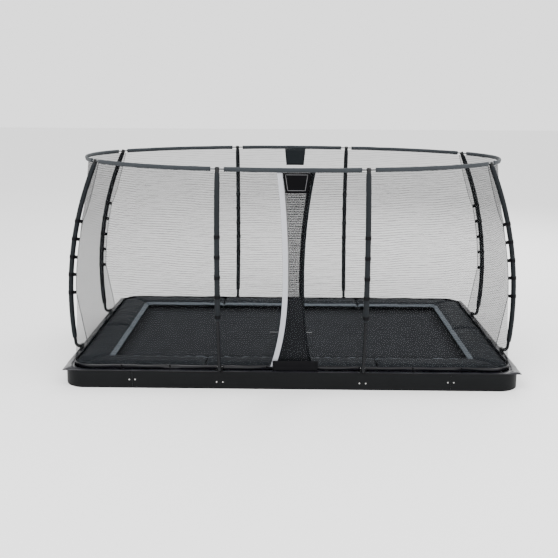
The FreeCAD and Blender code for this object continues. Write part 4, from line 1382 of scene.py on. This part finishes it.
    def build(self) -> None:
        """Makes the cover, hem and ties."""
        for piece in (self.cover(), self.hem(), self.ties()):
            LOG.info("made %s", piece.name)


# ---------------------------------------------------------------- mat and springs


@dataclass
class JumpingSurface:
    """The mat, its V rings and the springs."""

    layout: Layout
    finishes: Finishes
    hem: float = 0.06
    springs_long: int = 34
    springs_short: int = 18
    coil_radius: float = 0.0078
    wire: float = 0.0019
    turns: int = 26
    cross_half: float = 0.011

    CROSS = {Side.LEFT: (0.10, 0.28), Side.RIGHT: (0.10, 0.28), Side.FRONT: (0.15, 0.27),
             Side.BACK: (0.15, 0.27)}

    def __post_init__(self) -> None:
        """Reads the mat's and the rail's sizes from the frame."""
        mat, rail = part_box("jump_mat"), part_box("spring_rail_right")
        self.half_x, self.half_y = mat[1].x, mat[1].y
        self.level = (mat[0].z + mat[1].z) / 2
        rail_radius = (rail[1].z - rail[0].z) / 2
        self.rail_x = rail[1].x - 2 * rail_radius
        self.rail_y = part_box("spring_rail_back")[0].y
        self.rail_radius = rail_radius

    def sink(self, piece: bpy.types.Object) -> bpy.types.Object:
        """Bakes a piece's placement into its mesh.

        Args:
            piece: the piece.

        Returns:
            The same piece.
        """
        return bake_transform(piece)

    def panel(self, side: Side) -> bpy.types.Object:
        """Makes one mitred quarter of the mat, from its side's edge to the middle.

        Args:
            side: the side of the mat.

        Returns:
            The quarter.
        """
        ox, oy = side.value
        edge, half = (self.half_x, self.half_y) if ox else (self.half_y, self.half_x)
        outer_gap = (self.rail_x - self.half_x) if ox else (self.rail_y - self.half_y)
        other_gap = (self.rail_y - self.half_y) if ox else (self.rail_x - self.half_x)
        depth = self.rail_y - outer_gap
        hem_share = self.hem / depth
        shares = [0.0, 0.004, hem_share - 0.003, hem_share, hem_share + 0.002]
        shares += [mix(hem_share, 1.0, k / 14) for k in range(1, 15)]
        rows, places = [], []
        columns = 44 if not ox else 24
        for share in shares:
            inward = share * depth
            span = max(half + other_gap - outer_gap - inward, 0.0)
            row, at = [], []
            for j in range(columns + 1):
                along = mix(-span, span, j / columns)
                along = max(-half, min(half, along))
                lift = 0.0022 if inward < self.hem + 1e-4 else 0.0008
                sag = 0.004 * smooth(inward / 0.5)
                x, y = (ox * (edge - inward), along) if ox else (along, oy * (edge - inward))
                row.append(Vector((x, y, self.level + lift - sag)))
                at.append((x, y))
            rows.append(row)
            places.append(at)
        surface = Surface()
        surface.grid(rows, lambda i, j: 1 if i < 3 else 0, places)
        piece = surface.build(f"mat_{side.label}", self.finishes.all("mat_weave", "mat_webbing"))
        return self.sink(piece)

    def stations(self, side: Side) -> list[float]:
        """Places of the springs along a side.

        Args:
            side: the side of the mat.

        Returns:
            Distances along the side from its middle.
        """
        long_side = side.value[0] == 0
        half = (self.half_x if long_side else self.half_y) - 0.06
        count = self.springs_long if long_side else self.springs_short
        return [mix(-half, half, (i + 0.5) / count) for i in range(count)]

    def hardware(self, side: Side) -> tuple[bpy.types.Object, bpy.types.Object]:
        """Makes a side's wound springs with hooks, and its V rings.

        Args:
            side: the side of the mat.

        Returns:
            The springs and the V rings.
        """
        ox, oy = side.value
        edge = self.half_x if ox else self.half_y
        gap = (self.rail_x if ox else self.rail_y) - edge
        out, along = Vector((ox, oy, 0)), Vector((-oy, ox, 0))
        springs, rings = Surface(), Surface()
        up = Vector((0, 0, 1))
        for place in self.stations(side):
            foot = out * edge + along * place + up * self.level
            tip = 0.034
            ring = [foot + out * 0.001 + along * 0.016, foot + out * 0.003 + along * 0.018,
                    foot + out * tip * 0.9 + along * 0.005, foot + out * tip,
                    foot + out * tip * 0.9 - along * 0.005, foot + out * 0.003 - along * 0.018,
                    foot + out * 0.001 - along * 0.016,
                    foot + out * 0.001 + along * 0.016]
            rings.tube(ring, 0.002, 6, capped=False)
            start, end = tip + 0.014, gap - 0.02
            steps = self.turns * 8
            coil = []
            for k in range(steps + 1):
                turn = TAU * k / 8
                coil.append(foot + out * mix(start, end, k / steps)
                            + (up * math.cos(turn) + along * math.sin(turn)) * self.coil_radius)
            springs.tube(coil, self.wire, 5, up=out)
            for a, b in ((start, tip - 0.008), (end, gap + 0.006)):
                hook = [foot + out * a + up * self.coil_radius * 0.9,
                        foot + out * mix(a, b, 0.35) + up * 0.003,
                        foot + out * mix(a, b, 0.8) + up * 0.003, foot + out * b + up * 0.0005,
                        foot + out * mix(a, b, 0.92) - up * 0.006, foot + out * mix(a, b, 0.7) - up * 0.006]
                springs.tube(hook, self.wire, 6)
        coils = springs.build(f"coil_springs_{side.label}", self.finishes.all("spring_wire"))
        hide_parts("springs_" + side.label)
        vees = rings.build(f"v_rings_{side.label}", self.finishes.all("spring_wire"))
        return self.sink(coils), self.sink(vees)

    def mark(self) -> None:
        """Makes the plain cross in the mat's middle, printed in thin light lines."""
        z = self.level - 0.0018
        for side, (near, far) in self.CROSS.items():
            ox, oy = side.value
            surface = Surface()
            count = 10
            rows = []
            for edge in (-self.cross_half, self.cross_half):
                rows.append([Vector((ox * d + oy * edge, oy * d + ox * edge, z))
                             for d in (mix(near, far, k / count) for k in range(count + 1))])
            surface.grid(rows, 0, [[(p.x, p.y) for p in row] for row in rows])
            piece = surface.build(f"mat_cross_{side.label}", self.finishes.all("mat_print"), thick=0.0004)
            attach(piece, MAT_BODY)
            LOG.info("made %s", piece.name)

    def build(self) -> None:
        """Makes the mat, rings and springs of all four sides and the cross."""
        panels = []
        for side in Side:
            panels.append(self.panel(side))
            for piece in self.hardware(side):
                LOG.info("made %s", piece.name)
                if piece.name.startswith("v_rings") and side is Side.FRONT:
                    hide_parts("mat_v_rings")
        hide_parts("jump_mat")
        for side, piece in zip(Side, panels):
            LOG.info("made %s", piece.name)
        self.mark()


# ---------------------------------------------------------------- net


@dataclass
class NetWall:
    """The fixed bays of the net, the seams at the poles and the patch at the back."""

    layout: Layout
    finishes: Finishes
    columns_per_metre: float = 14.0
    rows: int = 44
    slack: float = 0.006
    middle_z: float = 1.3

    NAMES = {1: "net_front_right", 2: "net_right", 3: "net_back_right", 4: "net_back", 5: "net_back_left",
             6: "net_left", 7: "net_front_left"}
    ENDS = (2, 6)

    def levels(self) -> list[float]:
        """Heights of the net's rows, from the hem to the ring."""
        return [mix(self.layout.net_low - 0.004, self.layout.net_high + 0.004, i / self.rows)
                for i in range(self.rows + 1)]

    def bay(self, number: int) -> bpy.types.Object:
        """Makes one bay as a single open sheet that lies in the frame's net solid.

        Args:
            number: number of the bay.

        Returns:
            The bay's net.
        """
        name = self.NAMES[number]
        stops = [self.layout.net_point(number, k / 8, self.middle_z) for k in range(9)]
        wide = sum((b - a).length for a, b in zip(stops, stops[1:]))
        columns = int(wide * self.columns_per_metre)
        rows, places = [], []
        high, low = self.layout.net_high, self.layout.net_low
        for z in self.levels():
            row, at, run = [], [], 0.0
            for j in range(columns + 1):
                t = mix(0.002, 0.998, j / columns)
                point = self.layout.net_point(number, t, min(max(z, low), high))
                point.z = z
                ease = math.sin(math.pi * min(max((z - low) / (high - low), 0), 1)) * math.sin(math.pi * t)
                inward = Vector((-point.x, -point.y, 0)).normalized()
                point += inward * self.slack * ease * ripple(point.x * 2, point.y * 2, z * 1.5)
                if row:
                    run += (point - row[-1]).length
                row.append(point)
                at.append((run, z))
            rows.append(row)
            places.append(at)
        surface = Surface()
        surface.grid(rows, 0, places)
        piece = surface.build(name + "_cloth", self.finishes.all("net_end" if number in self.ENDS else "net"))
        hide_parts(name)
        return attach(piece, FRAME_BODY)

    def seams(self) -> bpy.types.Object:
        """Makes the narrow tapes where the bays meet at the poles, from the hem to the ring.

        Returns:
            The tapes as one piece.
        """
        surface = Surface()
        for pole in self.layout.poles:
            path = []
            for z in self.levels():
                point = self.layout.tied_point(pole, min(max(z, self.layout.net_low), self.layout.net_high))
                point.z = z
                path.append(point)
            section = [(-0.009, -0.0012), (0.009, -0.0012), (0.009, 0.0012), (-0.009, 0.0012)]
            ox, oy = pole.side.value
            surface.tube(path, 1.0, section=section, up=Vector((ox, oy, 0)))
        piece = surface.build("net_seam_tapes", self.finishes.all("edge_dark"))
        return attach(piece, FRAME_BODY)

    def back_patch(self) -> bpy.types.Object:
        """Makes the plain dark patch under the ring at the back.

        Returns:
            The patch.
        """
        low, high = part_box("back_patch")
        middle = (low.x + high.x) / 2
        half = (high.x - low.x) / 2
        rows, places = [], []
        for i in range(9):
            z = mix(low.z, high.z + 0.004, i / 8)
            wide = mix(half * 0.85, half, i / 8)
            row = []
            for j in range(9):
                x = middle + mix(-wide, wide, j / 8)
                t = 1 - (x + self.layout.mid_pole_x) / (2 * self.layout.mid_pole_x)
                point = self.layout.net_point(4, t, min(z, self.layout.net_high))
                row.append(Vector((x, point.y - 0.006, z)))
            rows.append(row)
            places.append([(p.x, p.z) for p in row])
        surface = Surface()
        surface.grid(rows, 0, places)
        piece = surface.build("back_net_patch", self.finishes.all("edge_dark"), thick=0.0015)
        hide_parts("back_patch")
        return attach(piece, FRAME_BODY)

    def build(self) -> None:
        """Makes every bay, the seams and the patch."""
        for number in self.NAMES:
            LOG.info("made %s", self.bay(number).name)
        for piece in (self.seams(), self.back_patch()):
            LOG.info("made %s", piece.name)


@dataclass(frozen=True)
class FlapEdge:
    """Where a flap's free edge stands along X: at its middle, top and foot."""

    middle: float
    top: float
    foot: float

    def at(self, share: float) -> float:
        """The edge's X at a share of the net's height.

        Args:
            share: 0 at the net's foot, 1 at its top.

        Returns:
            The X of the edge's middle line.
        """
        if share > 0.5:
            return self.middle + (self.top - self.middle) * ((share - 0.5) / 0.5) ** 2
        return self.middle + (self.foot - self.middle) * ((0.5 - share) / 0.5) ** 2.5


@dataclass
class Entrance:
    """The two overlapping flaps in the front bay, their bound edges, the badge and the patches."""

    layout: Layout
    finishes: Finishes
    light: FlapEdge = FlapEdge(-0.072, -0.140, -0.205)
    dark: FlapEdge = FlapEdge(0.105, 0.213, 0.212)
    edge_width: float = 0.056
    lift: float = 0.017
    rows: int = 44
    columns: int = 16
    panel_top: float = 1.08
    head_room: float = 0.002
    backing_lift: float = -0.011
    badge_lift: float = 0.028
    foot_lift: float = 0.032
    border_inset: float = 0.028
    border_radius: float = 0.0016
    parting_z: float = 1.3

    def point(self, x: float, z: float, lift: float) -> Vector:
        """A point of the front bay's surface at an X and a height, lifted towards the front.

        Args:
            x: the X.
            z: the height.
            lift: distance from the net's middle surface towards the front.

        Returns:
            The point.
        """
        t = (x + self.layout.mid_pole_x) / (2 * self.layout.mid_pole_x)
        level = min(max(z, self.layout.net_low), self.layout.net_high)
        base = self.layout.net_point(0, min(max(t, 0.0), 1.0), level)
        return Vector((x, base.y - lift, z))

    def share(self, z: float) -> float:
        """A height as a share of the net's height."""
        return (z - self.layout.net_low) / (self.layout.net_high - self.layout.net_low)

    def levels(self, low: Optional[float] = None, high: Optional[float] = None) -> list[float]:
        """Heights of the flap's rows.

        Args:
            low: the lowest row, or the net's foot.
            high: the highest row, or the net's top.

        Returns:
            The heights, from low to high.
        """
        low = self.layout.net_low - 0.004 if low is None else low
        high = self.layout.net_high + 0.004 if high is None else high
        return [mix(low, high, i / self.rows) for i in range(self.rows + 1)]

    def flap(self, label: str, side: int, edge: FlapEdge, lift: float, finish: str) -> bpy.types.Object:
        """Makes one flap's net, from its bound edge to its pole.

        Args:
            label: right or left.
            side: 1 to the right, -1 to the left.
            edge: where its free edge stands.
            lift: distance from the net's middle surface towards the front.
            finish: its material.

        Returns:
            The flap's net.
        """
        rows, places = [], []
        for z in self.levels():
            share = min(max(self.share(z), 0.0), 1.0)
            free = edge.at(share) + side * (self.edge_width / 2 - 0.006)
            fixed = side * (self.layout.mid_pole_x - 0.002)
            row, at = [], []
            for j in range(self.columns + 1):
                part = j / self.columns
                x = mix(free, fixed, part)
                point = self.point(x, z, lift * min(1.0, 2.0 * (1 - part)))
                point.y += 0.005 * math.sin(math.pi * part) * ripple(x * 2.0, 4.0 * side, z * 1.4)
                row.append(point)
                at.append((x, z))
            rows.append(row)
            places.append(at)
        surface = Surface()
        surface.grid(rows, 0, places)
        piece = surface.build(f"flap_cloth_{label}", self.finishes.all(finish))
        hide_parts("flap_net_" + label)
        return self.part(piece, label, side, edge)

    def part(self, piece: bpy.types.Object, label: str, side: int, edge: FlapEdge) -> bpy.types.Object:
        """Bakes a flap cloth's placement into its mesh.

        Args:
            piece: the cloth.
            label: not used.
            side: not used.
            edge: not used.

        Returns:
            The same piece.
        """
        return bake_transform(piece)

    def edge(self, label: str, edge: FlapEdge, lift: float, finish: str) -> bpy.types.Object:
        """Makes a flap's bound edge: a folded band with a stitched line down each side.

        Args:
            label: right or left.
            edge: where it stands.
            lift: distance from the net's middle surface towards the front.
            finish: its material.

        Returns:
            The band.
        """
        surface = Surface()
        half = self.edge_width / 2
        across = (-half, -half + 0.004, -half + 0.007, 0.0, half - 0.007, half - 0.004, half)
        puff = (0.0, 0.0014, 0.0008, 0.0022, 0.0008, 0.0014, 0.0)
        levels = self.levels(high=self.layout.net_high - self.head_room)
        for face in (1, -1):
            rows, places = [], []
            for z in levels:
                share = min(max(self.share(z), 0.0), 1.0)
                middle = edge.at(share)
                slope = (edge.at(min(share + 0.02, 1)) - edge.at(max(share - 0.02, 0))) / (
                    0.04 * (self.layout.net_high - self.layout.net_low))
                wide = math.sqrt(1 + slope * slope)
                rows.append([self.point(middle + a * wide, z, lift + face * (0.0012 + p))
                             for a, p in zip(across, puff)])
                places.append([(a, z) for a in across])
            surface.grid(rows if face > 0 else [list(reversed(r)) for r in rows], 0, places)
        piece = surface.build(f"flap_binding_{label}", self.finishes.all(finish))
        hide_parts("flap_edge_" + label)
        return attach(piece, f"{label}_flap_edge")

    def backing(self, name: str, low: float, high: float, finish: str) -> bpy.types.Object:
        """Makes a panel sewn behind the left flap, as wide as the overlap.

        Args:
            name: the piece's name.
            low: height of its foot.
            high: height of its top.
            finish: its material.

        Returns:
            The panel.
        """
        rows, places, area = [], [], 0.0
        levels = self.levels(low, high)
        for z in levels:
            share = min(max(self.share(z), 0.0), 1.0)
            a, b = self.light.at(share) - 0.03, self.dark.at(share)
            row = [self.point(mix(a, b, j / 10), z, self.backing_lift + 0.002 * ripple(j * 0.7, z * 3, 1.0))
                   for j in range(11)]
            rows.append(row)
            places.append([(p.x, p.z) for p in row])
            area += (b - a) * (high - low) / len(levels)
        surface = Surface()
        surface.grid(rows, 0, places)
        piece = surface.build(name, self.finishes.all(finish))
        return self.part(piece, "left", -1, self.dark)

    def panel(self, name: str, node: str, narrow: float, finish: str, trim: bool) -> bpy.types.Object:
        """Makes a flat sewn patch over a CAD patch.

        Args:
            name: the piece's name.
            node: the CAD node that it stands for.
            narrow: the width of its foot as a share of its top's.
            finish: its material.
            trim: gives it a plain border line, as the badge has.

        Returns:
            The patch.
        """
        low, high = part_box(node)
        middle, half = (low.x + high.x) / 2, (high.x - low.x) / 2
        lift = self.badge_lift if trim else self.foot_lift
        rows, places = [], []
        for i in range(11):
            z = mix(low.z, high.z, i / 10)
            wide = mix(half * narrow, half, i / 10)
            row = [self.point(middle + mix(-wide, wide, j / 12), z, lift) for j in range(13)]
            rows.append(row)
            places.append([(p.x, p.z) for p in row])
        surface = Surface()
        surface.grid(rows, 0, places)
        if trim:
            inset, ring = self.border_inset, []
            for sx, sz in ((-1, 0), (1, 0), (1, 1), (-1, 1)):
                z = mix(low.z + inset, high.z - inset * 0.7, sz)
                wide = mix(half * narrow, half, (z - low.z) / (high.z - low.z)) - inset
                ring.append(self.point(middle + sx * wide, z, lift + 0.002))
            loop = []
            for a, b in zip(ring, ring[1:] + ring[:1]):
                loop += [a.lerp(b, k / 6) for k in range(6)]
            surface.tube(loop + loop[:2], self.border_radius, 6, finish=1, capped=False, up=Vector((0, 1, 0)))
        piece = surface.build(name, self.finishes.all(finish, "piping"), thick=0.0012)
        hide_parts(node)
        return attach(piece, FRAME_BODY)

    def build(self) -> None:
        """Makes the whole entrance."""
        made = [self.flap("right", 1, self.light, self.lift, "net_flap"),
                self.flap("left", -1, self.dark, -self.lift, "net_flap"),
                self.edge("right", self.light, self.lift, "edge_light"),
                self.edge("left", self.dark, -self.lift, "edge_dark"),
                self.backing("entrance_kick_panel", self.layout.net_low, self.panel_top, "kick_fabric"),
                self.backing("overlap_backing", self.panel_top, self.layout.net_high, "net_doubled"),
                self.panel("entrance_badge_blank", "entrance_badge", 0.78, "badge_fabric", True),
                self.panel("entrance_foot_patch", "entrance_threshold", 1.0, "webbing", False)]
        for piece in made:
            LOG.info("made %s", piece.name)


# ---------------------------------------------------------------- studio


@dataclass
class Studio:
    """The pale floor with the pit under the mat, the soft lights and the camera."""

    eye: tuple[float, float, float] = (-0.045, -9.611, 3.303)
    pitch: float = 9.984
    yaw: float = -0.712
    roll: float = -0.311
    lens: float = 48.76
    shift: float = -0.096
    floor_half: float = 60.0
    pit_x: float = 2.50
    pit_y: float = 1.43
    pit_depth: float = 0.8

    def floor(self) -> None:
        """Makes the floor with a plain pit below the mat."""
        material = bpy.data.materials.new("studio_floor")
        material.use_nodes = True
        shader = material.node_tree.nodes["Principled BSDF"]
        shader.inputs["Base Color"].default_value = (0.86, 0.86, 0.86, 1)
        shader.inputs["Roughness"].default_value = 0.9
        surface = Surface()
        f, x, y, d = self.floor_half, self.pit_x, self.pit_y, self.pit_depth
        outer = [Vector((a * f, b * f, 0)) for a, b in ((-1, -1), (1, -1), (1, 1), (-1, 1))]
        rim = [Vector((a * x, b * y, 0)) for a, b in ((-1, -1), (1, -1), (1, 1), (-1, 1))]
        base = [p - Vector((0, 0, d)) for p in rim]
        numbers = surface.grid([outer, rim, base], 0, round_rows=True)
        surface.face(numbers[2])
        floor = surface.build("floor", [material], smooth_faces=False)

    def light(self, name: str, place: Sequence[float], size: float, power: float) -> None:
        """Adds a square soft light that faces the object.

        Args:
            name: its name.
            place: where it stands.
            size: length of its side.
            power: its power in watts.
        """
        data = bpy.data.lights.new(name, "AREA")
        data.size = size
        data.energy = power
        lamp = bpy.data.objects.new(name, data)
        lamp.location = place
        aim = Vector((0, 0, 1.0)) - Vector(place)
        lamp.rotation_euler = aim.to_track_quat("-Z", "Y").to_euler()
        bpy.context.scene.collection.objects.link(lamp)

    def camera(self) -> None:
        """Places the camera by its pitch, yaw and roll."""
        pitch, yaw, roll = (math.radians(a) for a in (self.pitch, self.yaw, self.roll))
        ahead = Vector((math.sin(yaw) * math.cos(pitch), math.cos(yaw) * math.cos(pitch), -math.sin(pitch)))
        level = Vector((math.cos(yaw), -math.sin(yaw), 0))
        down = ahead.cross(level)
        right = level * math.cos(roll) + down * math.sin(roll)
        below = level * -math.sin(roll) + down * math.cos(roll)
        data = bpy.data.cameras.new("camera")
        data.lens = self.lens
        data.sensor_width = 36.0
        data.shift_y = self.shift
        data.clip_end = 500.0
        eye = bpy.data.objects.new("camera", data)
        turn = Matrix((right, -below, -ahead)).transposed()
        eye.matrix_world = Matrix.Translation(self.eye) @ turn.to_4x4()
        bpy.context.scene.collection.objects.link(eye)
        bpy.context.scene.camera = eye

    def build(self) -> None:
        """Sets the whole studio up."""
        world = bpy.data.worlds.new("studio")
        world.use_nodes = True
        world.node_tree.nodes["Background"].inputs[0].default_value = (1.0, 1.0, 1.0, 1)
        world.node_tree.nodes["Background"].inputs[1].default_value = 1.9
        bpy.context.scene.world = world
        self.floor()
        self.light("key", (-4.0, -6.0, 9.0), 6.0, 900.0)
        self.light("fill", (7.0, -5.0, 6.0), 5.0, 500.0)
        self.light("rim", (4.0, 8.0, 8.0), 6.0, 900.0)
        self.camera()


def main() -> None:
    """Builds the trampoline's looks in order."""
    logging.basicConfig(level=logging.INFO, format="%(name)s: %(message)s")
    finishes = Finishes(Effects())
    layout = Layout()
    Studio().build()
    Metalwork().dress(finishes)
    PoleCovers(layout, finishes).build()
    RingCovers(layout, finishes).build()
    Padding(layout, finishes).build()
    EdgeCover(layout, finishes).build()
    JumpingSurface(layout, finishes).build()
    NetWall(layout, finishes).build()
    Entrance(layout, finishes).build()


if __name__ == "__main__":
    main()
